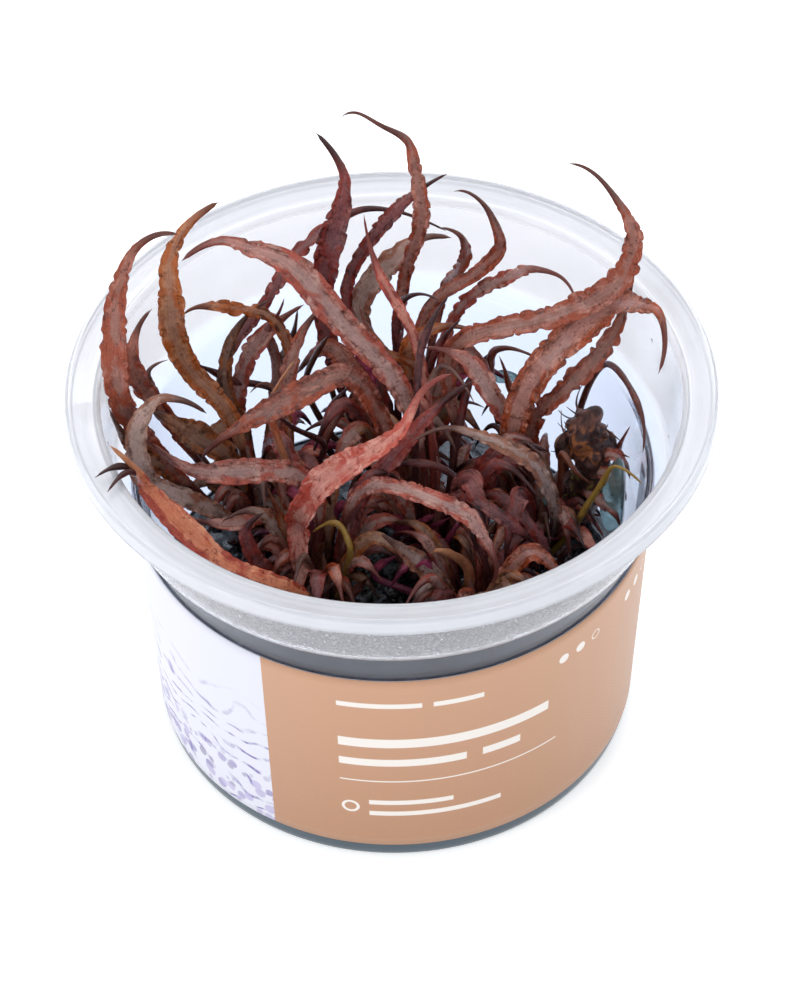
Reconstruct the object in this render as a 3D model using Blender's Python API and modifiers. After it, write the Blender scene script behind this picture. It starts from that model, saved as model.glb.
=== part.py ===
"""A cup of young red spiral water trumpet plants, sold growing on nutrient gel.

A clear plastic culture cup with a wide rim, and a paper wrap round its front, holds a disc of dark gel.
Six small plants stand in the gel, close together. Each is a short crown from which long narrow leaves
with crimped edges rise, arch over and hook at the tip. An old rotting rhizome leans at the right.
Units are metres in Blender, and the tables are in millimetres. The cup stands on z = 0 round the
origin, and the side that faces the viewer is at -Y.
"""

import math

import bpy
import numpy as np
from mathutils import Vector

MM = 0.001
GAP = 0.3

# cup: outline radii and heights
RIM_R = 50.0
RIM_Z = 67.4
SKIRT_Z = 64.9
FLANGE_R = 44.5
FLANGE_Z = 65.5
STEP_R = 43.6
STEP_Z = 51.7
WALL_TOP_R = 40.6
WALL_TOP_Z = 49.7
WALL_FOOT_R = 38.8
WALL_FOOT_Z = 1.3
BASE_R = 38.2
WALL = 0.8
FLOOR = 1.0
TURN_STEPS = 48

# paper wrap round the front and sides, and gel
LABEL_FOOT_Z = 3.2
LABEL_TOP_Z = 44.0
LABEL_THICK = 0.3
LABEL_HALF_TURN = 97.0
LABEL_STEPS = 30
GEL_TOP_Z = 19.0

# crowns: a low mound with the furled young leaves as a spike in its middle
CROWN_FOOT_R = 5.0
CROWN_TOP_R = 4.4
CROWN_TOP_Z = 22.2
SPIKE_R = 1.5
RING_R = 3.1
CROWN_STEPS = 10
CROWNS = {
    "crown_front": (-12, -1, 32),
    "crown_corner": (12, -7, 30),
    "crown_middle": (7, 7, 34),
    "crown_right": (24, 9, 32),
    "crown_left": (-22, 14, 32),
    "crown_back": (1, 23, 36),
}

# old rhizome: points of its middle line with the radius there
RHIZOME = [
    (31, 17, 19.8, 2.0),
    (31, 15, 25, 2.9),
    (31.5, 13.5, 29, 2.1),
    (32, 12, 33, 3.3),
    (32.5, 11.5, 37, 2.4),
    (32, 12, 41, 3.4),
    (31, 12.5, 45, 2.6),
    (30.5, 13, 47.5, 1.0),
]

# leaves: the strap opens at STRAP_START of the way to the full blade, and is STRAP_FILL as wide. Past the
# crest the blade narrows for SHOULDER of the way to the tip, down to a tail TAIL_FILL as wide.
PETIOLE_R = 0.65
TIP_R = 0.16
RIB_H = 0.42
FOLD = 0.16
CRIMP = 0.38
STATIONS = 15
BLADE_SKEW = 0.72
CREST = 0.5 ** (1 / BLADE_SKEW)
STRAP_START = 0.45
STRAP_FILL = 0.9
SHOULDER = 0.8
TAIL_FILL = 0.4
FACE = Vector((0.0, -0.6, 0.8))

AMBER = (0.42, 0.16, 0.055)
BROWN = (0.20, 0.075, 0.045)
RUST = (0.30, 0.075, 0.04)
MAROON = (0.17, 0.035, 0.03)
MAUVE = (0.32, 0.15, 0.15)
GREY = (0.27, 0.18, 0.17)
PINK = (0.50, 0.16, 0.15)
SALMON = (0.60, 0.22, 0.15)
YELLOW = (0.62, 0.38, 0.12)

# Each plant is a crown and its leaves. A row is one leaf: name, colour, widest blade, the share of its
# length where the full blade starts, the direction in degrees in which its foot stands on the crown's
# ring, and the points its midrib passes through on the way to the tip.
PLANTS = {
    "crown_front": [
        ("leaf_mauve_low", MAUVE, 4.2, 0.50, 140,
         [(-14, 2, 44), (-29, -3, 51), (-32, -2, 51), (-38, 2, 53)]),
        ("leaf_pale_stalk", SALMON, 1.4, 0.49, 110,
         [(-15, 6, 34), (-19, 7, 53), (-19, 7, 56), (-15, 6, 66)]),
        ("leaf_orange_low", AMBER, 1.6, 0.44, 170,
         [(-16, -1, 29), (-18, -2, 40), (-20, -1, 46)]),
        ("leaf_front_pink", PINK, 4.8, 0.34, -130,
         [(-15, -8, 31), (-15, -6, 41), (-14, -8, 47), (-10, -10, 56), (1, -13, 69), (5, -9, 74),
          (9, -8, 76)]),
        ("leaf_dark_red", MAROON, 3.2, 0.40, 70,
         [(-9, 2, 29), (-6, 2, 38), (9, 5, 59), (13, 5, 62)]),
        ("leaf_brown_arch", BROWN, 1.4, 0.57, -20,
         [(-7, -2, 26), (-5, -2, 33), (-2, -3, 38)]),
        ("leaf_yellow_stem", YELLOW, 1.1, 0.67, -50,
         [(-8, -4, 28), (-7, -5, 36), (-9, -2, 38), (-13, -2, 36)]),
        ("leaf_front_arch", PINK, 3.0, 0.54, 10,
         [(-4, -2, 46), (7, -10, 51), (10, -10, 49), (12, -11, 48), (15, -13, 43), (16, -14, 40),
          (15, -14, 36)]),
        ("leaf_wall_salmon", SALMON, 4.1, 0.46, -100,
         [(-16, -16, 38), (-26, -19, 47), (-31, -17, 52), (-37, -14, 58), (-38, -16, 64),
          (-42, -16, 70)]),
        ("leaf_front_curl", MAROON, 2.6, 0.59, -160,
         [(-19, -7, 32), (-22, -9, 38), (-23, -8, 43), (-20, -7, 46)]),
    ],
    "crown_corner": [
        ("leaf_red_curl", PINK, 1.4, 0.62, 110,
         [(12, -6, 30), (11, -7, 34), (7, -10, 40), (6, -9, 38)]),
        ("leaf_front_leaf", BROWN, 3.6, 0.40, -100,
         [(9, -9, 28), (-2, -11, 45)]),
        ("leaf_red_stub", MAROON, 1.6, 0.52, 30,
         [(15, -5, 28), (12, -7, 40)]),
        ("leaf_pink_stub", PINK, 1.4, 0.66, -155,
         [(3, -8, 28), (-3, -7, 31), (1, -9, 38)]),
    ],
    "crown_middle": [
        ("leaf_long_arch", MAUVE, 4.8, 0.54, 130,
         [(2, 10, 54), (-8, 11, 70), (-16, 12, 81), (-21, 14, 82), (-26, 16, 82), (-32, 16, 78)]),
        ("leaf_mauve_long", MAUVE, 4.4, 0.58, 165,
         [(-2, 10, 50), (-7, 9, 60), (-14, 4, 61), (-27, 2, 53), (-30, 1, 50)]),
        ("leaf_red_low", MAROON, 2.3, 0.60, -80,
         [(11, -2, 44), (16, -6, 44), (23, -5, 35)]),
        ("leaf_red_lower", MAROON, 2.1, 0.67, -20,
         [(16, 2, 40), (20, -1, 39), (26, -5, 30)]),
        ("leaf_pink_spire", PINK, 1.9, 0.64, 105,
         [(4, 18, 58), (-2, 25, 68), (-4, 31, 74)]),
        ("leaf_pink_fork", MAROON, 1.4, 0.75, -170,
         [(4, 9, 56), (5, 12, 64), (9, 14, 72)]),
        ("leaf_pink_twig", MAROON, 1.3, 0.73, 80,
         [(6, 17, 50), (7, 17, 57), (11, 15, 66)]),
        ("leaf_right_tall", BROWN, 4.0, 0.48, 55,
         [(10, 14, 42), (10, 17, 58), (27, 15, 67), (35, 14, 74), (37, 15, 78), (37, 15, 84),
          (31, 15, 95), (27, 14, 98)]),
        ("leaf_amber_stem", AMBER, 1.1, 0.76, 10,
         [(13, 7, 34), (17, 6, 44)]),
        ("leaf_dark_arch", MAROON, 1.4, 0.69, -50,
         [(12, 3, 39), (9, 4, 43), (6, 4, 45), (1, 5, 44), (-1, 4, 42)]),
    ],
    "crown_right": [
        ("leaf_grey_arch", GREY, 2.8, 0.38, -110,
         [(25, 4, 27), (26, 2, 35), (25, 1, 41), (21, 0, 50), (12, 1, 55), (8, 3, 54), (3, 2, 52)]),
        ("leaf_arch_pair", BROWN, 1.4, 0.61, -20,
         [(27, 5, 32), (23, 5, 46), (20, 4, 50)]),
        ("leaf_grey_ruffle", GREY, 3.5, 0.58, 135,
         [(19, 13, 44), (16, 13, 51), (12, 14, 58), (5, 13, 62)]),
        ("leaf_right_hook", AMBER, 5.8, 0.42, 180,
         [(20, 11, 50), (26, 14, 60), (34, 17, 66), (38, 11, 72), (41, 7, 74), (42, 5, 70),
          (41, 2, 66)]),
        ("leaf_brown_ruffle", RUST, 3.4, 0.44, 90,
         [(23, 13, 46), (28, 13, 53), (35, 17, 60), (38, 22, 67), (38, 23, 71)]),
        ("leaf_wall_thin", RUST, 1.1, 0.73, 35,
         [(34, 17, 54), (39, 3, 56), (39, -1, 52)]),
        ("leaf_pale_hook", YELLOW, 1.1, 0.48, -65,
         [(28, 4, 28), (33, 1, 43), (35, -2, 50), (39, -4, 48)]),
    ],
    "crown_left": [
        ("leaf_far_left", RUST, 4.2, 0.50, -150,
         [(-41, 1, 60), (-42, 1, 67), (-42, 6, 75), (-41, 11, 79), (-39, 14, 82), (-36, 15, 84),
          (-32, 13, 86)]),
        ("leaf_left_tall", AMBER, 4.3, 0.44, 145,
         [(-26, 16, 44), (-32, 17, 54), (-34, 16, 62), (-34, 15, 71), (-34, 17, 77), (-32, 19, 81),
          (-26, 18, 88)]),
        ("leaf_back_ruffle", RUST, 2.2, 0.74, 35,
         [(-18, 27, 54), (-26, 24, 61), (-31, 23, 62), (-33, 21, 62)]),
        ("leaf_back_arc", MAROON, 2.2, 0.42, 70,
         [(-28, 26, 43), (-20, 30, 57), (-15, 33, 64), (-9, 35, 69), (-3, 36, 71), (9, 35, 67)]),
        ("leaf_wall_small", RUST, 3.2, 0.64, 180,
         [(-38, 10, 55), (-39, 8, 59), (-40, 7, 67), (-39, 11, 69), (-37, 14, 70)]),
        ("leaf_left_curl", GREY, 3.8, 0.46, -80,
         [(-32, -4, 46), (-37, -4, 49), (-39, -6, 56), (-39, -3, 61), (-36, 2, 62), (-33, 3, 61),
          (-29, 5, 56)]),
        ("leaf_brown_blade", BROWN, 4.8, 0.60, -110,
         [(-27, 10, 42), (-30, 9, 46), (-38, 8, 54)]),
        ("leaf_low_left", MAUVE, 2.7, 0.56, -45,
         [(-20, 2, 36), (-26, -3.4, 39.7), (-33, -3.5, 41.6)]),
        ("leaf_mauve_back", MAUVE, 3.2, 0.61, 110,
         [(-25, 23, 31), (-25, 25, 42), (-22, 27, 50), (-14, 30, 56)]),
    ],
    "crown_back": [
        ("leaf_orange_wisp", AMBER, 1.6, 0.71, -40,
         [(4, 24, 47), (-1, 24, 51), (-4, 26, 55), (-5, 28, 58)]),
        ("leaf_tallest", RUST, 2.6, 0.54, 90,
         [(2, 31, 58), (5, 25, 79), (4, 26, 88), (3, 27, 92), (-1, 26, 96), (-5, 28, 97),
          (-7, 27, 97)]),
        ("leaf_back_spear", MAROON, 2.5, 0.63, 150,
         [(-4, 29, 40), (-7, 31, 58), (0, 29, 75), (9, 24, 88)]),
        ("leaf_back_tall", MAROON, 4.4, 0.50, -180,
         [(-8, 27, 38), (-11, 31, 54), (-10, 28, 67), (-7, 26, 82), (-7, 27, 86), (-11, 27, 94)]),
        ("leaf_back_hook", RUST, 2.5, 0.55, -10,
         [(6, 26, 58), (14, 25, 67), (17, 23, 73), (17, 22, 77), (15, 23, 82), (12, 22, 86),
          (10, 21, 87)]),
        ("leaf_back_loop", RUST, 2.2, 0.69, 65,
         [(6, 31, 42), (9, 34, 56), (11, 31, 62), (12, 29, 67), (11, 27, 73), (8, 30, 72)]),
        ("leaf_grey_broad", GREY, 4.2, 0.58, 120,
         [(-2, 31, 38), (-5, 34, 52), (1, 37, 60), (5, 40, 61), (10, 39, 62)]),
        ("leaf_back_right", BROWN, 2.4, 0.55, 30,
         [(8, 29, 43), (10, 31, 51), (14, 29, 59), (19, 26, 65), (23, 22, 70), (27, 21, 69),
          (29, 18, 67)]),
        ("leaf_dark_back", MAROON, 1.4, 0.67, -135,
         [(-11, 19, 36), (-6, 18, 50)]),
    ],
}


def clear_scene():
    for obj in list(bpy.data.objects):
        bpy.data.objects.remove(obj, do_unlink=True)
    for mesh in list(bpy.data.meshes):
        bpy.data.meshes.remove(mesh)


def material(name, colour, roughness, alpha=1.0):
    """A Principled material for one piece, made once for each name."""
    mat = bpy.data.materials.get(name) or bpy.data.materials.new(name)
    mat.use_nodes = True
    shader = mat.node_tree.nodes["Principled BSDF"]
    shader.inputs["Base Color"].default_value = (*colour, 1.0)
    shader.inputs["Roughness"].default_value = roughness
    shader.inputs["Metallic"].default_value = 0.0
    shader.inputs["Alpha"].default_value = alpha
    mat.diffuse_color = (*colour, alpha)
    return mat


def place(obj, mat, parent):
    obj.data.materials.append(mat)
    collection.objects.link(obj)
    obj.parent = parent
    return obj


def turned(name, profile, steps, mat, parent, at=(0, 0, 0)):
    """A turned piece: the profile (radius, height) in millimetres spun round Z by a Screw."""
    verts = [(r * MM, 0.0, z * MM) for r, z in profile]
    edges = [(i, i + 1) for i in range(len(verts) - 1)]
    mesh = bpy.data.meshes.new(name)
    mesh.from_pydata(verts, edges, [])
    obj = bpy.data.objects.new(name, mesh)
    obj.location = [v * MM for v in at]
    screw = obj.modifiers.new("turn", "SCREW")
    screw.steps = steps
    screw.render_steps = steps
    screw.use_merge_vertices = True
    screw.merge_threshold = 0.00001
    screw.use_smooth_shade = True
    return place(obj, mat, parent)


def wrapped(name, section, half_turn, steps, mat, parent):
    """A strip round the front of the cup: the section (radius, height), listed anticlockwise as seen
    with the axis on its left, is carried from half_turn degrees left of -Y to the same at the right."""
    corners = len(section)
    verts = []
    for i in range(steps + 1):
        turn = math.radians(-90 + half_turn * (2 * i / steps - 1))
        for r, z in section:
            verts.append((r * math.cos(turn) * MM, r * math.sin(turn) * MM, z * MM))
    faces = [tuple(range(corners))]
    for i in range(steps):
        for j in range(corners):
            a = corners * i + j
            b = corners * i + (j + 1) % corners
            faces.append((a, a + corners, b + corners, b))
    last = corners * steps
    faces.append(tuple(range(last + corners - 1, last - 1, -1)))
    mesh = bpy.data.meshes.new(name)
    mesh.from_pydata(verts, [], faces)
    mesh.shade_smooth()
    return place(bpy.data.objects.new(name, mesh), mat, parent)


def wall_radius(z):
    """Outer radius of the cup's tapering wall at height z."""
    share = (z - WALL_FOOT_Z) / (WALL_TOP_Z - WALL_FOOT_Z)
    return WALL_FOOT_R + (WALL_TOP_R - WALL_FOOT_R) * share


def smooth_route(points, count):
    """Points at equal steps along a centripetal Catmull-Rom curve through the given points."""
    p = np.asarray(points, float)
    t = np.r_[0, np.cumsum(np.linalg.norm(np.diff(p, axis=0), axis=1) ** 0.5)]
    step = np.diff(t)[:, None]
    slope = np.diff(p, axis=0) / step
    m = np.empty_like(p)
    m[1:-1] = (slope[1:] * step[:-1] + slope[:-1] * step[1:]) / (step[1:] + step[:-1])
    m[0] = 2 * slope[0] - m[1]
    m[-1] = 2 * slope[-1] - m[-2]
    at = np.linspace(0, t[-1], 400)
    k = np.clip(np.searchsorted(t, at, side="right") - 1, 0, len(p) - 2)
    h = step[k]
    u = (at - t[k])[:, None] / h
    fine = (2 * u**3 - 3 * u**2 + 1) * p[k] + (u**3 - 2 * u**2 + u) * h * m[k]
    fine += (3 * u**2 - 2 * u**3) * p[k + 1] + (u**3 - u**2) * h * m[k + 1]
    s = np.r_[0, np.cumsum(np.linalg.norm(np.diff(fine, axis=0), axis=1))]
    even = np.linspace(0, s[-1], count)
    return [Vector([float(np.interp(e, s, fine[:, i])) for i in range(3)]) for e in even]


def foot_on_ring(crown, degrees):
    """Where a leaf's stalk meets its crown: on a ring round the spike, just above the mound."""
    x, y, _ = CROWNS[crown]
    turn = math.radians(degrees)
    return (x + RING_R * math.cos(turn), y + RING_R * math.sin(turn), CROWN_TOP_Z + GAP + 0.1)


def blade_width(share, widest, start):
    """Full width at a share of the leaf's length: a round stalk, a strap that opens along it, the crest
    where the blade is widest, and a long tail."""
    stalk = 2 * PETIOLE_R * (1 - 0.25 * share)
    crest = start + CREST * (1 - start)
    x = max(share - start, 0) / (1 - start)
    if share < crest:
        opening = max(share - STRAP_START * start, 0) / (crest - STRAP_START * start)
        strap = STRAP_FILL * math.sin(math.pi / 2 * opening**0.5)
        swell = max(math.sin(math.pi * x**BLADE_SKEW) ** 0.8, strap)
    else:
        tail = (share - crest) / (1 - crest)
        shoulder = math.cos(math.pi / 2 * min(tail / SHOULDER, 1)) ** 2
        swell = TAIL_FILL * (1 - tail) ** 0.35 + (1 - TAIL_FILL) * shoulder
    return max(widest * swell, stalk * (1 - x) + 2 * TIP_R * x)


def leaf(name, colour, widest, start, points, parent):
    """A leaf lofted from a four-cornered stalk to a folded blade whose two edges rise and dip in turn."""
    route = smooth_route(points, STATIONS)
    verts = []
    across = None
    for i, here in enumerate(route):
        along = (route[min(i + 1, STATIONS - 1)] - route[max(i - 1, 0)]).normalized()
        side = along.cross(FACE)
        if side.length < 0.2 and across is not None:
            side = across - along * across.dot(along)
        side.normalize()
        if across is not None and side.dot(across) < 0:
            side = -side
        across = side
        up = side.cross(along)
        if up.dot(FACE) < 0 and i == 0:
            up = -up
        share = i / (STATIONS - 1)
        half = blade_width(share, widest, start) / 2
        broad = min(max(half - PETIOLE_R, 0) / 0.8, 1)
        rib = min(RIB_H + (PETIOLE_R - RIB_H) * (1 - broad), half)
        lift = FOLD * half * broad
        wave = CRIMP * broad * (-1) ** i
        verts.append(here - side * half + up * (lift + wave))
        verts.append(here + up * rib)
        verts.append(here + side * half + up * (lift - wave))
        verts.append(here - up * rib)
    # the faces between two rings fan out from the edge corners of the first one, above and below alike,
    # so a blade that twists keeps its thickness and never passes through itself
    faces = [(3, 2, 1, 0)]
    for left in range(0, 4 * (STATIONS - 1), 4):
        top, right, under = left + 1, left + 2, left + 3
        for edge, first, second in ((left, top, under), (right, under, top)):
            faces.append((edge, first, first + 4))
            faces.append((edge, first + 4, edge + 4))
            faces.append((edge, edge + 4, second + 4))
            faces.append((edge, second + 4, second))
    last = 4 * (STATIONS - 1)
    faces.append((last, last + 1, last + 2, last + 3))
    mesh = bpy.data.meshes.new(name)
    mesh.from_pydata([v * MM for v in verts], [], faces)
    mesh.shade_smooth()
    obj = bpy.data.objects.new(name, mesh)
    return place(obj, material(name, colour, 0.32), parent)


def knobbly_stem(name, points, mat, parent):
    """A closed tube along points with their own radii, the old rhizome's lumps."""
    curve = bpy.data.curves.new(name, "CURVE")
    curve.dimensions = "3D"
    curve.bevel_depth = MM
    curve.bevel_resolution = 2
    curve.use_fill_caps = True
    spline = curve.splines.new("POLY")
    spline.points.add(len(points) - 1)
    for point, (x, y, z, r) in zip(spline.points, points):
        point.co = (x * MM, y * MM, z * MM, 1.0)
        point.radius = r
    obj = bpy.data.objects.new(name, curve)
    return place(obj, mat, parent)


clear_scene()
collection = bpy.data.collections.new("potted_cryptocoryne_spiralis")
bpy.context.scene.collection.children.link(collection)
root = bpy.data.objects.new("potted_plant", None)
collection.objects.link(root)

inner_foot = WALL_FOOT_R - WALL
inner_top = WALL_TOP_R - WALL
turned(
    "cup",
    [
        (0, FLOOR),
        (BASE_R - 0.9, FLOOR),
        (inner_foot, WALL_FOOT_Z + 0.4),
        (inner_top, WALL_TOP_Z + 0.3),
        (STEP_R - WALL, STEP_Z + 0.3),
        (FLANGE_R, FLANGE_Z),
        (RIM_R - 0.8, RIM_Z),
        (RIM_R, RIM_Z - 0.5),
        (RIM_R + 0.2, SKIRT_Z),
        (RIM_R - 0.5, SKIRT_Z),
        (RIM_R - 0.7, RIM_Z - 1.1),
        (FLANGE_R + 0.8, FLANGE_Z - 0.7),
        (STEP_R, STEP_Z),
        (WALL_TOP_R, WALL_TOP_Z),
        (WALL_FOOT_R, WALL_FOOT_Z),
        (BASE_R, 0),
        (0, 0),
    ],
    TURN_STEPS,
    material("cup", (0.78, 0.84, 0.93), 0.18, 0.35),
    root,
)

label_foot = wall_radius(LABEL_FOOT_Z) + GAP
label_top = wall_radius(LABEL_TOP_Z) + GAP
wrapped(
    "label",
    [
        (label_foot, LABEL_FOOT_Z),
        (label_foot + LABEL_THICK, LABEL_FOOT_Z),
        (label_top + LABEL_THICK, LABEL_TOP_Z),
        (label_top, LABEL_TOP_Z),
    ],
    LABEL_HALF_TURN,
    LABEL_STEPS,
    material("label", (0.56, 0.34, 0.21), 0.5),
    root,
)

gel_foot_z = FLOOR + GAP + 0.1
gel_top_r = wall_radius(GEL_TOP_Z) - WALL - GAP
turned(
    "gel",
    [
        (0, GEL_TOP_Z),
        (gel_top_r, GEL_TOP_Z),
        (inner_foot - GAP, WALL_FOOT_Z + 0.9),
        (BASE_R - 1.1, gel_foot_z),
        (0, gel_foot_z),
    ],
    TURN_STEPS,
    material("gel", (0.012, 0.03, 0.034), 0.12),
    root,
)

crown_foot_z = GEL_TOP_Z + GAP
for name, (x, y, spike_z) in CROWNS.items():
    turned(
        name,
        [
            (0, spike_z),
            (0.5 * SPIKE_R, spike_z - 3),
            (SPIKE_R, CROWN_TOP_Z + 1),
            (SPIKE_R + 0.2, CROWN_TOP_Z),
            (CROWN_TOP_R, CROWN_TOP_Z),
            (CROWN_FOOT_R, crown_foot_z),
            (0, crown_foot_z),
        ],
        CROWN_STEPS,
        material(name, (0.16, 0.06, 0.04), 0.4),
        root,
        at=(x, y, 0),
    )

knobbly_stem("old_rhizome", RHIZOME, material("old_rhizome", (0.17, 0.08, 0.05), 0.5), root)

for crown, leaves in PLANTS.items():
    for name, colour, widest, start, degrees, points in leaves:
        foot = foot_on_ring(crown, degrees)
        leaf(name, colour, widest, start, [foot, *points], root)
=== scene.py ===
"""A cup of young red spiral water trumpet plants on dark nutrient gel, dressed for close looks.

The frame gives the solids. Every visible piece is made again here as a finer surface in the same place:
the moulded cup, the printed wrap, the gel, the crowns with their youngest leaves, the old rhizome and
each leaf with its stalk, midrib and crimped edges. Lengths in the tables are millimetres.
"""

import math
from functools import partial

import bpy
import numpy as np
from mathutils import Matrix, Vector


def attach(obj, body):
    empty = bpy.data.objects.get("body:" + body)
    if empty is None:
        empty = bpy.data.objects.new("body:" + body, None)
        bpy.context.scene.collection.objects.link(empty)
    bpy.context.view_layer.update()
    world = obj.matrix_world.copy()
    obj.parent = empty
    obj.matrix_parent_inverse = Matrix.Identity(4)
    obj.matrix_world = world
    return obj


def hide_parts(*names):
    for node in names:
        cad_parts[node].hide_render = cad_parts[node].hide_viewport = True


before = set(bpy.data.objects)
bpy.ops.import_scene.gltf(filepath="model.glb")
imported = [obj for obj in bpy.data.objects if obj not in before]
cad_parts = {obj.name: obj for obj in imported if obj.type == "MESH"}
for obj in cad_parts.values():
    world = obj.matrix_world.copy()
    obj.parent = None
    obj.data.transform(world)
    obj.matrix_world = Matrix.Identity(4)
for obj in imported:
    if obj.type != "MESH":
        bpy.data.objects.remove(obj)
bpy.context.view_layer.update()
MM = 0.001
TURN = 2 * math.pi
GOLDEN_ANGLE = 137.5

# the photograph's view: a long lens looking down on the cup
LENS = 115.2
SENSOR = 36.0
LOOK_AT = Vector((0.92, 0.0, 41.14)) * MM
DISTANCE = 507.5 * MM
ELEVATION = math.radians(45.67)
ROLL = math.radians(-0.79)

# cup, as in the part's source: radius and height of each corner
RIM_R, RIM_Z = 50.0, 67.4
SKIRT_Z = 64.9
FLANGE_R, FLANGE_Z = 44.5, 65.5
STEP_R, STEP_Z = 43.6, 51.7
WALL_TOP_R, WALL_TOP_Z = 40.6, 49.7
WALL_FOOT_R, WALL_FOOT_Z = 38.8, 1.3
BASE_R = 38.2
WALL = 0.8
FLOOR = 1.0
LABEL_FOOT_Z, LABEL_TOP_Z = 3.2, 44.0
LABEL_HALF_TURN = 97.0
LABEL_ARC_R = 40.0
GEL_TOP_Z = 19.0
CROWN_TOP_Z = 22.2
CROWN_FOOT_R = 5.0
RING_R = 3.1

# how many of each small thing are tried, and how far from the axis they may lie
BEADS = 150
GEL_LUMPS = 96
YOUNG_LEAVES = 38
HAIR_ROOTS = 46
GEL_LUMP_LIMIT_R = 35.5
YOUNG_LEAF_LIMIT_R = 36.5
HAIR_ROOT_LIMIT_R = 38.5

# leaves: the strap opens at STRAP_START of the way to the full blade, and is STRAP_FILL as wide. Past the
# crest the blade narrows for SHOULDER of the way to the tip, down to a tail TAIL_FILL as wide.
PETIOLE_R = 0.65
TIP_R = 0.16
BLADE_SKEW = 0.72
CREST = 0.5 ** (1 / BLADE_SKEW)
STRAP_START = 0.45
STRAP_FILL = 0.9
SHOULDER = 0.8
TAIL_FILL = 0.4
FACE = np.array((0.0, -0.6, 0.8))

# point values that every piece carries for its finish: place across a leaf from -1 to 1, the same in
# millimetres, distance along it, how much it is blade and not stalk, height of the margin's wave, lower
# face, share of the length, and a chance value for each leaf. The wrap keeps its own places in them.
MARKS = ("across", "span", "along", "blade", "crimp", "under", "reach", "tone")

# where each crown stands, and the height of its spike
CROWNS = {
    "crown_front": (-12, -1, 32),
    "crown_corner": (12, -7, 30),
    "crown_middle": (7, 7, 34),
    "crown_right": (24, 9, 32),
    "crown_left": (-22, 14, 32),
    "crown_back": (1, 23, 36),
}

# the old rhizome's middle line, with its radius
RHIZOME = (
    (31, 17, 19.8, 2.0),
    (31, 15, 25, 2.9),
    (31.5, 13.5, 29, 2.1),
    (32, 12, 33, 3.3),
    (32.5, 11.5, 37, 2.4),
    (32, 12, 41, 3.4),
    (31, 12.5, 45, 2.6),
    (30.5, 13, 47.5, 1.0),
)

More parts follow.
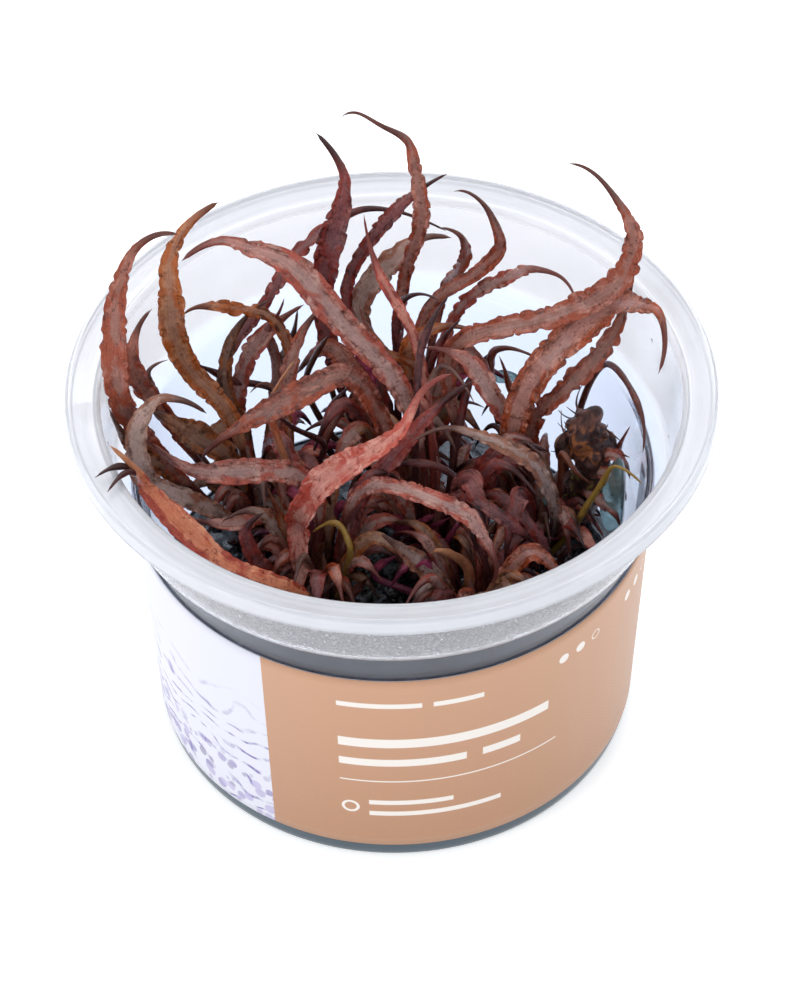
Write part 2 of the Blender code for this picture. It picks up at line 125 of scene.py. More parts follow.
# big leaves under the name of their crown: name, colour, widest blade, the share of the length that is
# stalk, the direction of the foot on the crown's ring in degrees, and after the colon the points of the
# midrib. Before it some have looks that differ: ruffle and wave of the margins in millimetres, fold from
# the midrib, twist in degrees, width of the tail and thickness of the stalk as shares, and as finish the
# colour they grew.
LEAF_TABLE = """
crown_front
mauve_low mauve 4.2 0.5 140 ruffle 0.3 wave 3.4: -14 2 44, -29 -3 51, -32 -2 51, -38 2 53
pale_stalk salmon 1.4 0.49 110: -15 6 34, -19 7 53, -19 7 56, -15 6 66
orange_low amber 1.6 0.44 170: -16 -1 29, -18 -2 40, -20 -1 46
front_pink pink 4.8 0.34 -130 ruffle 0.3 wave 2.6 fold 0.6: -15 -8 31, -15 -6 41, -14 -8 47, -10 -10 56,
  1 -13 69, 5 -9 74, 9 -8 76
dark_red maroon 3.2 0.4 70 ruffle 0.3 wave 3: -9 2 29, -6 2 38, 9 5 59, 13 5 62
brown_arch brown 1.4 0.57 -20: -7 -2 26, -5 -2 33, -2 -3 38
yellow_stem yellow 1.1 0.67 -50: -8 -4 28, -7 -5 36, -9 -2 38, -13 -2 36
front_arch pink 3 0.54 10 ruffle 0.36 wave 1.9 finish mauve: -4 -2 46, 7 -10 51, 10 -10 49, 12 -11 48,
  15 -13 43, 16 -14 40, 15 -14 36
wall_salmon salmon 4.1 0.46 -100 ruffle 0.2 fold 0.12: -16 -16 38, -26 -19 47, -31 -17 52, -37 -14 58,
  -38 -16 64, -42 -16 70
front_curl maroon 2.6 0.59 -160: -19 -7 32, -22 -9 38, -23 -8 43, -20 -7 46
crown_corner
red_curl pink 1.4 0.62 110 stalk 1.5 finish salmon: 12 -6 30, 11 -7 34, 7 -10 40, 6 -9 38
front_leaf brown 3.6 0.4 -100 ruffle 0.24 finish grey: 9 -9 28, -2 -11 45
red_stub maroon 1.6 0.52 30: 15 -5 28, 12 -7 40
pink_stub pink 1.4 0.66 -155 finish wine: 3 -8 28, -3 -7 31, 1 -9 38
crown_middle
long_arch mauve 4.8 0.54 130 ruffle 0.36 wave 3.8 fold 0.3: 2 10 54, -8 11 70, -16 12 81, -21 14 82,
  -26 16 82, -32 16 78
mauve_long mauve 4.4 0.58 165 ruffle 0.26 wave 2.6 twist 14 finish rust: -2 10 50, -7 9 60, -14 4 61,
  -27 2 53, -30 1 50
red_low maroon 2.3 0.6 -80: 11 -2 44, 16 -6 44, 23 -5 35
red_lower maroon 2.1 0.67 -20: 16 2 40, 20 -1 39, 26 -5 30
pink_spire pink 1.9 0.64 105: 4 18 58, -2 25 68, -4 31 74
pink_fork maroon 1.4 0.75 -170: 4 9 56, 5 12 64, 9 14 72
pink_twig maroon 1.3 0.73 80: 6 17 50, 7 17 57, 11 15 66
right_tall brown 4 0.48 55 ruffle 0.5 wave 2.8 fold 0.3 finish rust tail 0.3: 10 14 42, 10 17 58,
  27 15 67, 35 14 74, 37 15 78, 37 15 84, 31 15 95, 27 14 98
amber_stem amber 1.1 0.76 10: 13 7 34, 17 6 44
dark_arch maroon 1.4 0.69 -50: 12 3 39, 9 4 43, 6 4 45, 1 5 44, -1 4 42
crown_right
grey_arch grey 2.8 0.38 -110 ruffle 0.34 wave 3.4: 25 4 27, 26 2 35, 25 1 41, 21 0 50, 12 1 55, 8 3 54,
  3 2 52
arch_pair brown 1.4 0.61 -20: 27 5 32, 23 5 46, 20 4 50
grey_ruffle grey 3.5 0.58 135 ruffle 0.4 wave 3 finish mauve: 19 13 44, 16 13 51, 12 14 58, 5 13 62
right_hook amber 5.8 0.42 180 ruffle 0.34 wave 2.6 twist 12 finish brick tail 0.26: 20 11 50, 26 14 60,
  34 17 66, 38 11 72, 41 7 74, 42 5 70, 41 2 66
brown_ruffle rust 3.4 0.44 90 ruffle 0.7 wave 3.8 fold 0.3: 23 13 46, 28 13 53, 35 17 60, 38 22 67,
  38 23 71
wall_thin rust 1.1 0.73 35: 34 17 54, 39 3 56, 39 -1 52
pale_hook yellow 1.1 0.48 -65: 28 4 28, 33 1 43, 35 -2 50, 39 -4 48
crown_left
far_left rust 4.2 0.5 -150 ruffle 0.3 wave 2.2: -41 1 60, -42 1 67, -42 6 75, -41 11 79, -39 14 82,
  -36 15 84, -32 13 86
left_tall amber 4.3 0.44 145 ruffle 0.34 wave 2.4 tail 0.5: -26 16 44, -32 17 54, -34 16 62, -34 15 71,
  -34 17 77, -32 19 81, -26 18 88
back_ruffle rust 2.2 0.74 35 ruffle 0.6 wave 2.7 finish amber: -18 27 54, -26 24 61, -31 23 62, -33 21 62
back_arc maroon 2.2 0.42 70 ruffle 0.5 wave 3: -28 26 43, -20 30 57, -15 33 64, -9 35 69, -3 36 71,
  9 35 67
wall_small rust 3.2 0.64 180 ruffle 0.3 wave 3: -38 10 55, -39 8 59, -40 7 67, -39 11 69, -37 14 70
left_curl grey 3.8 0.46 -80 ruffle 0.26 wave 3.4: -32 -4 46, -37 -4 49, -39 -6 56, -39 -3 61, -36 2 62,
  -33 3 61, -29 5 56
brown_blade brown 4.8 0.6 -110 ruffle 0.3 wave 3.2: -27 10 42, -30 9 46, -38 8 54
low_left mauve 2.7 0.56 -45 ruffle 0.3 wave 2.8: -20 2 36, -26 -3.4 39.7, -33 -3.5 41.6
mauve_back mauve 3.2 0.61 110 ruffle 0.4 wave 2.6: -25 23 31, -25 25 42, -22 27 50, -14 30 56
crown_back
orange_wisp amber 1.6 0.71 -40: 4 24 47, -1 24 51, -4 26 55, -5 28 58
tallest rust 2.6 0.54 90 ruffle 0.4 wave 3: 2 31 58, 5 25 79, 4 26 88, 3 27 92, -1 26 96, -5 28 97,
  -7 27 97
back_spear maroon 2.5 0.63 150: -4 29 40, -7 31 58, 0 29 75, 9 24 88
back_tall maroon 4.4 0.5 -180 ruffle 0.36 wave 3.4 fold 0.3: -8 27 38, -11 31 54, -10 28 67, -7 26 82,
  -7 27 86, -11 27 94
back_hook rust 2.5 0.55 -10 ruffle 0.14: 6 26 58, 14 25 67, 17 23 73, 17 22 77, 15 23 82, 12 22 86,
  10 21 87
back_loop rust 2.2 0.69 65: 6 31 42, 9 34 56, 11 31 62, 12 29 67, 11 27 73, 8 30 72
grey_broad grey 4.2 0.58 120 ruffle 0.3 wave 3.6: -2 31 38, -5 34 52, 1 37 60, 5 40 61, 10 39 62
back_right brown 2.4 0.55 30 ruffle 0.5 wave 3 finish mauve: 8 29 43, 10 31 51, 14 29 59, 19 26 65,
  23 22 70, 27 21 69, 29 18 67
dark_back maroon 1.4 0.67 -135: -11 19 36, -6 18 50
"""

# youngest leaves, roots and offshoots, which share one mesh with their crown: colour, widest blade, the
# share that is stalk, the direction of the foot, and the midrib. The spurs are two thorn-like tips that
# leave another leaf at the left rim, so they have no foot.
SHOOT_TABLE = """
crown_front
yellow 1 0.8 180: -15 -1 26, -15 -1 32, -15 -1 37
brown 1 0.8 -90: -12 -4 26, -12 -4 32, -11 -6 38
grey 1.8 0.35 -140: -15 -4 24, -12 -6 27, -8 -6 30
rust 1.5 0.35 -50: -8 -6 24, -6 -7 28, -4 -9 33
wine 1.5 0.5 60: -9 5 34, -7 3 38, -5 3 41
crown_corner
wine 1 0.8 100: 8 -1 30, 10 -1 36, 11 0 38
brown 1.2 0.6 70: 14 -2 28, 15 -1 34, 18 0 38
maroon 1.2 0.5 0: 18 -9 26, 22 -10 30, 25 -9 28
crown_middle
rust 2.5 0.5 100: 5 15 46, 9 14 50, 13 13 54
wine 1.1 0.8 -160: 0 4 28, 3 1 34, 7 -2 40
wine 1 0.8 -150: 1 4 27, 5 1 33, 9 -1 38
brown 1.1 0.8 -50: 11 2 24, 10 1 32, 9 0 38
crown_right
maroon 1.1 0.4 -80: 26 0 24, 27 0 27, 28 0 29, 30 1 29, 33 1 28
pink 1.2 0.5 0: 27 7 33, 27 5 35, 28 4 34, 30 4 32
amber 1.4 0.6 110: 21 17 44, 19 16 50, 18 15 55, 17 14 59
rust 1.5 0.5 120: 16 21 52, 18 19 56, 21 17 57, 25 16 55
amber 1.1 0.6 30: 27 7 38, 27 5 46, 29 3 44, 32 4 40
pink 1.6 0.4 20: 33 14 34, 36 13 38, 37 12 42, 38 11 46
mauve 1.8 0.3 0: 33 12 34, 35 13 38, 36 11 40, 38 8 42
crown_left
brown 2.4 0.6 110: -25 21 34, -27 19 40, -30 14 42, -34 13 46
grey 2.2 0.6 150: -34 17 40, -38 14 52, -38 12 59, -35 12 61
brown 3 0.5 -170: -34 6 40, -41 -1 56, -42 -3 61, -43 -4 66
maroon 0.9 0.6 -10: -15 12 34, -11 13 40, -16 8 50, -20 5 58
maroon 1.4 0.7 80: -19 26 40, -26 25 44, -29 23 48, -32 21 52
mauve 1.8 0.5 70: -19 29 44, -20 28 52, -18 27 57, -17 26 61
brown 2.2 0.5 60: -20 30 34, -18 31 42, -16 29 50, -15 28 57
rust 1.5 0.5 20: -13 16 32, -10 18 40, -7 20 44, -6 20 48
rust 2.8 0.45 50: -19 17 38, -17 20 48, -14 24 56, -9 26 61
amber 1.6 0.5 0: -17 15 34, -17 18 42, -20 21 47, -23 21 45
brown 2.4 0.45 100: -24 21 36, -27 22 46, -25 25 55, -19 27 60
crown_back
brown 0.9 0.9 150: -10 28 28, -14 30 36, -14 28 42, -10 26 53
brown 0.9 0.9 140: -7 29 28, -10 31 36, -9 29 42, -8 29 48
maroon 1.2 0.5 10: 9 25 34, 14 25 46, 16 23 51, 19 22 53
amber 3 0.5 30: 3 25 44, 3 24 52, 6 22 57, 10 20 60, 14 18 60
maroon 1.8 0.5 90: 1 28 44, 1 26 56, 2 24 62, 5 21 66, 8 18 67
spurs
maroon 1.1 0.1: -38.5 -15.5 64, -41 -17.5 67, -44 -21 68.2
maroon 1 0.1: -38.5 -15.5 63.6, -40 -19 66.9, -42 -24 68.2
"""


def read_table(text):
    """Rows under the names of their crowns. A line with a colon is a row: words and numbers, then points
    between commas, which may run on below. A line without one names the crown of the rows after it."""
    table = {}
    for line in text.strip().replace(",\n", ",").splitlines():
        head, colon, route = line.partition(":")
        if not colon:
            rows = table[head] = []
            continue
        words = [float(word) if word[-1].isdigit() else word for word in head.split()]
        rows.append((*words, [tuple(map(float, point.split())) for point in route.split(",")]))
    return table


PLANTS = read_table(LEAF_TABLE)
SHOOTS = read_table(SHOOT_TABLE)
SPURS = SHOOTS.pop("spurs")


def linear(code):
    """sRGB hex text to linear red, green and blue with alpha 1."""
    parts = np.array([int(code[i : i + 2], 16) for i in (1, 3, 5)]) / 255
    value = np.where(parts <= 0.04045, parts / 12.92, ((parts + 0.055) / 1.055) ** 2.4)
    return (*[float(v) for v in value], 1.0)


def add(tree, kind, sockets=(), stops=(), out=0, **settings):
    """One shader node of this kind, and one of its outputs as the result.

    A word after the kind is its operation. Settings go on its properties, stops (place, hex colour) on
    its colour band, and sockets on its inputs, by name or in their order: each is a number, a vector, a
    hex colour or another node's output.
    """
    kind, _, operation = kind.partition(" ")
    node = tree.nodes.new("ShaderNode" + kind)
    if operation:
        node.operation = operation
    for key, value in settings.items():
        setattr(node, key, value)
    if stops:
        band = node.color_ramp.elements
        band.remove(band[1])
        band[0].position = stops[0][0]
        band[0].color = linear(stops[0][1])
        for place, code in stops[1:]:
            band.new(place).color = linear(code)
    for key, value in sockets.items() if isinstance(sockets, dict) else enumerate(sockets):
        if isinstance(value, bpy.types.NodeSocket):
            tree.links.new(value, node.inputs[key])
        else:
            node.inputs[key].default_value = linear(value) if isinstance(value, str) else value
    return node.outputs[out]


def blank(name, settings):
    """A new material, its Principled shader holding these constant settings, and add() for its nodes."""
    mat = bpy.data.materials.new(name)
    mat.use_nodes = True
    shader = mat.node_tree.nodes["Principled BSDF"]
    for key, value in settings.items():
        shader.inputs[key].default_value = value
    return mat, shader, partial(add, mat.node_tree)


def finish_shader(shader, colour=None, rough=None, relief=None, depth_mm=0.0, clear=None):
    """Joins colour, roughness, a relief of depth_mm and clearness to the shader, where they are given."""
    tree = shader.id_data
    if relief is not None:
        relief = add(tree, "Bump", {"Height": relief, "Distance": depth_mm * MM}, out="Normal")
    joins = {"Base Color": colour, "Roughness": rough, "Normal": relief, "Transmission Weight": clear}
    for key, source in joins.items():
        if source is not None:
            tree.links.new(source, shader.inputs[key])


def between(new, value, low, high, soft):
    """1 between low and high, falling to 0 over soft at either side: two ramps multiplied."""
    rise = new("MapRange", (value, low, low + soft))
    fall = new("MapRange", (value, high, high - soft))
    return new("Math MULTIPLY", (rise, fall))


def make_piece(name, patches, materials):
    """One mesh from patches: each has points, blocks of faces, a material slot and its point values."""
    points, faces, slots, start = [], [], [], 0
    values = {key: [] for key in MARKS}
    for patch in patches:
        count = len(patch["points"])
        points.append(patch["points"])
        for block in patch["faces"]:
            faces.extend((np.asarray(block) + start).tolist())
            slots.extend([patch["slot"]] * len(block))
        for key in MARKS:
            values[key].append(np.broadcast_to(np.asarray(patch.get(key, 0.0), float), (count,)))
        start += count
    mesh = bpy.data.meshes.new(name)
    mesh.from_pydata((np.concatenate(points) * MM).tolist(), [], faces)
    for key, blocks in values.items():
        field = mesh.attributes.new(key, "FLOAT", "POINT")
        field.data.foreach_set("value", np.concatenate(blocks).astype(np.float32))
    for mat in materials:
        mesh.materials.append(mat)
    mesh.polygons.foreach_set("material_index", np.array(slots, np.int32))
    mesh.shade_smooth()
    piece = bpy.data.objects.new(name, mesh)
    bpy.context.scene.collection.objects.link(piece)
    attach(piece, "root")
    return piece


def grid_faces(rows, columns):
    """Quads of a grid of rows by columns whose columns close round."""
    i = np.arange(rows - 1)[:, None]
    j = np.arange(columns)[None, :]
    k = (j + 1) % columns
    corners = [i * columns + j, (i + 1) * columns + j, (i + 1) * columns + k, i * columns + k]
    return np.stack(corners, -1).reshape(-1, 4)


def tube_patch(points, slot=0, **values):
    """A patch from rings of points (rows, round, 3), closed round and capped at both ends."""
    rows, columns, _ = points.shape
    first = np.arange(columns)[None, :]
    last = (rows - 1) * columns + np.arange(columns)[None, ::-1]
    flat = {key: np.broadcast_to(value, (rows, columns)).reshape(-1) for key, value in values.items()}
    faces = [grid_faces(rows, columns), first, last]
    return {"points": points.reshape(-1, 3), "faces": faces, "slot": slot, **flat}


def unit(rows):
    """Vectors divided by their lengths."""
    return rows / np.linalg.norm(rows, axis=-1, keepdims=True)


def read_at(at, s, rows):
    """Rows of vectors given at distances s, read at other distances by straight steps."""
    return np.stack([np.interp(at, s, rows[:, i]) for i in range(rows.shape[1])], 1)


def smooth_route(points, count=320):
    """Points at equal steps along a centripetal Catmull-Rom curve, with their distance from its start."""
    p = np.asarray(points, float)
    t = np.r_[0, np.cumsum(np.linalg.norm(np.diff(p, axis=0), axis=1) ** 0.5)]
    step = np.diff(t)[:, None]
    slope = np.diff(p, axis=0) / step
    m = np.empty_like(p)
    m[1:-1] = (slope[1:] * step[:-1] + slope[:-1] * step[1:]) / (step[1:] + step[:-1])
    m[0] = 2 * slope[0] - m[1]
    m[-1] = 2 * slope[-1] - m[-2]
    at = np.linspace(0, t[-1], 800)
    k = np.clip(np.searchsorted(t, at, side="right") - 1, 0, len(p) - 2)
    h = step[k]
    u = (at - t[k])[:, None] / h
    fine = (2 * u**3 - 3 * u**2 + 1) * p[k] + (u**3 - 2 * u**2 + u) * h * m[k]
    fine += (3 * u**2 - 2 * u**3) * p[k + 1] + (u**3 - u**2) * h * m[k + 1]
    s = np.r_[0, np.cumsum(np.linalg.norm(np.diff(fine, axis=0), axis=1))]
    even = np.linspace(0, s[-1], count)
    return read_at(even, s, fine), even


def step_up(x):
    """0 to 1 with flat ends."""
    x = np.clip(x, 0, 1)
    return x * x * (3 - 2 * x)


def frames_along(route, ease=21):
    """Unit vectors along and across a strip that follows the route. Across is along crossed with the
    facing direction, kept from flipping and eased over some neighbours."""
    along = unit(np.gradient(route, axis=0))
    side = np.cross(along, FACE)
    length = np.linalg.norm(side, axis=1)
    sign = np.cumprod(np.r_[1, np.where((side[1:] * side[:-1]).sum(1) < 0, -1, 1)])
    side = side * sign[:, None] * np.minimum(length, 0.35)[:, None] ** 0.5
    padded = np.pad(side, ((ease // 2, ease // 2), (0, 0)), mode="edge")
    side = np.stack([np.convolve(padded[:, i], np.hanning(ease), mode="valid") for i in range(3)], 1)
    side -= along * (side * along).sum(1)[:, None]
    return along, unit(side)


def wobble(s, seed, length):
    """A slow irregular wave of height about 1 along s: three sines of unlike lengths."""
    a, b, c = np.random.default_rng(seed).uniform(0, TURN, 3)
    x = s / length * 2 * math.pi
    return 0.5 * np.sin(x + a) + 0.3 * np.sin(1.7 * x + b) + 0.2 * np.sin(2.85 * x + c)


def margin_waves(s, wave, rng):
    """How one margin winds along s: its reach outward makes rounded lobes with notches, a sine's size,
    and its rise is highest halfway down each lobe. Length and strength change along the leaf."""
    seeds = rng.integers(1e6, size=3)
    phase = s / wave * math.pi + 1.5 * wobble(s, int(seeds[0]), 7.0)
    level = np.clip(0.66 + 0.8 * wobble(s, int(seeds[1]), 8.0), 0.1, 1.4)
    small = 0.2 * np.sin(4.6 * phase + rng.uniform(0, 6.28))
    return level * (np.sin(2 * phase) + small), level * (1.8 * np.abs(np.sin(phase)) - 1.1)


def blade_swell(share, start, tail_fill):
    """Share of the widest width along a leaf: nothing on the stalk, a strap that opens along it, the
    crest where the blade is widest, then a shoulder that falls to a long thin tail."""
    x = np.clip((share - start) / (1 - start), 0, 1)
    crest = start + CREST * (1 - start)
    rise = np.sin(math.pi * x**BLADE_SKEW).clip(0) ** 0.8
    opening = np.clip((share - STRAP_START * start) / (crest - STRAP_START * start), 0, 1)
    strap = STRAP_FILL * np.sin(math.pi / 2 * opening**0.5)
    tail = np.clip((share - crest) / (1 - crest), 0, 1)
    shoulder = np.cos(math.pi / 2 * np.minimum(tail / SHOULDER, 1)) ** 2
    fall = tail_fill * (1 - tail) ** 0.35 + (1 - tail_fill) * shoulder
    return np.where(share < crest, np.maximum(rise, strap), fall), x


def leaf_patch(points, widest, start, seed, looks=None, grain=0.3, rounds=20, slot=0):
    """A whole leaf as one closed skin round its route.

    At angle q round the section the skin lies half * cos(q) across and thick(q) * sin(q) out. The stalk
    is round. On the blade each half folds up from the midrib, dents run in between the side veins, and
    each margin winds like a screw: its rise and its outward reach grow from nothing near the midrib to
    their full size at the edge. Rings stand close together on the blade and far apart on the stalk.
    """
    looks = looks or {}
    rng = np.random.default_rng(seed)
    curve, length = smooth_route(points)
    total = length[-1]
    bare = STRAP_START * start * total
    stem = np.linspace(0, bare, max(int(bare / 1.4), 3), endpoint=False)
    s = np.r_[stem, np.arange(bare, total - 0.15, grain), total]
    route = read_at(s, length, curve)
    along, side = [read_at(s, length, rows) for rows in frames_along(curve)]
    # the outline
    share = s / total
    swell, x = blade_swell(share, start, looks.get("tail", TAIL_FILL))
    stalk = PETIOLE_R * (1 - 0.25 * share) * looks.get("stalk", 1.0)
    half = np.maximum(widest / 2 * swell, stalk * (1 - x) + TIP_R * x)
    half *= 1 + 0.05 * wobble(s, seed + 3, 9.0) * swell
    half[-5:] *= np.linspace(1, 0.2, 5)
    broad = step_up((half - stalk * 0.9) / 0.7) * step_up((share - STRAP_START * start) / 0.05)
    # the turn about its own length
    tilt = looks.get("roll", 0.0) + looks.get("twist", 0.0) * x
    turn = np.radians(tilt + 12.0 * wobble(s, seed + 5, 34.0) * swell)[:, None]
    out = np.cross(side, along)
    side, out = side * np.cos(turn) + out * np.sin(turn), out * np.cos(turn) - side * np.sin(turn)
    # the section, with rings down the first axis and places round them along the second
    wave = looks.get("wave", 1.9 + 0.22 * widest)
    ruffle = looks.get("ruffle", min(0.10 + 0.075 * widest, 0.4))
    left, right = margin_waves(s, wave, rng), margin_waves(s, wave, rng)
    bend = 0.1 * wobble(s, seed + 9, 9.0)[:, None]
    half, broad, stalk = half[:, None], broad[:, None], stalk[:, None]
    q = (np.arange(rounds) + 0.5) * TURN / rounds
    cosine, sine = np.cos(q)[None, :], np.sin(q)[None, :]
    away = np.abs(cosine)
    rise, reach = [np.where(cosine < 0, a[:, None], b[:, None]) for a, b in zip(left, right)]
    edge = np.clip((away - 0.6) / 0.4, 0, 1) ** 1.3
    dent = away * (1 - away) * 4
    lift = rise * (edge * ruffle * 1.25 + dent * 0.03)
    fold = looks.get("fold", 0.22) * away**1.3 * half
    buckle = bend * (1 - away) * half
    rib = 0.10 + 0.26 * np.exp(-((cosine * half / 0.45) ** 2))
    thick = np.minimum(stalk * (1 - broad) + rib * broad, half)
    far = half * cosine + np.sign(cosine) * reach * edge * ruffle * broad * 0.8
    up = thick * sine + (fold + lift + buckle) * broad
    skin = route[:, None, :] + side[:, None, :] * far[..., None] + out[:, None, :] * up[..., None]
    return tube_patch(
        skin,
        slot,
        across=cosine,
        span=far,
        along=s[:, None],
        blade=broad**0.5,
        crimp=rise * np.maximum(edge, 0.3 * dent) * broad,
        under=(sine < 0).astype(float),
        reach=share[:, None],
        tone=rng.uniform(-1, 1),
    )


def cord_patch(points, radii, rounds=10, steps=40, seed=0, lumps=0.0, lump_mm=2.0, slot=0, **values):
    """A round stem along a route: radius eased between the given radii, with lumps of a share of it."""
    route, s = smooth_route(points, steps)
    along, side = frames_along(route, ease=7)
    out = np.cross(side, along)
    radius = np.interp(s / s[-1], np.linspace(0, 1, len(radii)), radii)[:, None]
    q = (np.arange(rounds) * TURN / rounds)[None, :]
    a = np.random.default_rng(seed).uniform(0, 6.28, 4)
    x = s[:, None] / lump_mm
    rough = np.sin(3 * q + x + a[0]) * np.sin(x * 1.7 + a[1] + q)
    rough += 0.6 * np.sin(5 * q - x * 2.3 + a[2]) * np.sin(x * 3.1 + a[3])
    radius = radius * (1 + lumps * rough)
    skin = route[:, None, :] + radius[..., None] * (
        side[:, None, :] * np.cos(q)[..., None] + out[:, None, :] * np.sin(q)[..., None]
    )
    return tube_patch(skin, slot, **values)


def filleted(profile, radii, corner_steps=5):
    """A profile with each inner corner turned into a short curve that starts radius away from it."""
    p = np.asarray(profile, float)
    out = [p[0]]
    u = np.linspace(0, 1, corner_steps)[:, None]
    for i in range(1, len(p) - 1):
        before, after = p[i - 1] - p[i], p[i + 1] - p[i]
        reach = min(radii[i], np.linalg.norm(before) * 0.45, np.linalg.norm(after) * 0.45)
        a, b = p[i] + unit(before) * reach, p[i] + unit(after) * reach
        out.extend((1 - u) ** 2 * a + 2 * u * (1 - u) * p[i] + u**2 * b)
    out.append(p[-1])
    return np.array(out)


def spaced(profile, step):
    """A profile with points added so that none is further than step from the next."""
    p = np.asarray(profile, float)
    rows = [p[:1]]
    for a, b in zip(p[:-1], p[1:]):
        n = max(int(np.ceil(np.linalg.norm(b - a) / step)), 1)
        rows.append(a + (b - a) * (np.arange(1, n + 1) / n)[:, None])
    return np.concatenate(rows)


def turned_patch(profile, steps, **values):
    """A profile (radius, height) carried round the upright axis. It runs from inner to outer side, so
    the faces point out, and its two ends are closed with flat caps."""
    p = np.asarray(profile, float)
    q = np.arange(steps) * TURN / steps
    height = np.repeat(p[:, 1:], steps, 1)
    rings = np.stack([p[:, :1] * np.cos(q)[None], p[:, :1] * np.sin(q)[None], height], -1)
    return tube_patch(rings, **values)


def lump_patch(centre, radii, seed, rings=14, rounds=20, roughness=0.22):
    """A lump: a sphere stretched by three radii, its surface pushed in and out by a few waves."""
    rng = np.random.default_rng(seed)
    a = np.linspace(0.06, math.pi - 0.06, rings)[:, None]
    q = (np.arange(rounds) * TURN / rounds)[None, :]
    x, y, z = np.sin(a) * np.cos(q), np.sin(a) * np.sin(q), np.cos(a) * np.ones_like(q)
    w = np.zeros_like(x)
    for _ in range(5):
        k = rng.normal(0, 2.2, 3)
        w += np.sin(k[0] * x + k[1] * y + k[2] * z + rng.uniform(0, 6.28))
    grow = 1 + roughness * w / 2.5
    points = np.stack([x * radii[0], y * radii[1], z * radii[2]], -1) * grow[..., None]
    return tube_patch(points + np.asarray(centre, float))


def wall_radius(z):
    """Outer radius of the cup's tapering wall at height z."""
    return WALL_FOOT_R + (WALL_TOP_R - WALL_FOOT_R) * (z - WALL_FOOT_Z) / (WALL_TOP_Z - WALL_FOOT_Z)


# settings of a node that lays colour 7 over colour 6 by the share in 0
LAYER = {"data_type": "RGBA", "out": 2}

# what each leaf colour is made of: darkest flesh, body, lightest flesh, the band along the midrib, the
# margins and the stalk
LEAF_COLOURS = {
    "amber": ("#46180A", "#9A5128", "#D0926A", "#AC7E68", "#B2560F", "#6E321A"),
    "brown": ("#32160A", "#7A4A30", "#B28464", "#927060", "#9A501C", "#4A2216"),
    "rust": ("#40160E", "#864030", "#C08070", "#946A60", "#9A3E1C", "#58241A"),
    "maroon": ("#22080A", "#68302E", "#A6625C", "#7C4A4C", "#8A2A1E", "#381012"),
    "mauve": ("#56241E", "#9C5E50", "#D2A296", "#AE8C86", "#AA3E28", "#70342C"),
    "grey": ("#48302A", "#957468", "#C8AAA0", "#AC928A", "#96563A", "#6A423A"),
    "pink": ("#74241E", "#C0604E", "#F0AE9C", "#D48E80", "#BC402C", "#7C342C"),
    "salmon": ("#8E2814", "#D46440", "#F6A880", "#E2845E", "#B2382A", "#CC9C6E"),
    "yellow": ("#6A4A1E", "#B48E4A", "#DCBC80", "#BE9456", "#A06A30", "#B4903C"),
    "wine": ("#360812", "#8E2A48", "#CC6884", "#A8446A", "#962844", "#621634"),
    "brick": ("#54200F", "#A4543A", "#DC9C86", "#B4827A", "#AE481C", "#6C2E1E"),
}


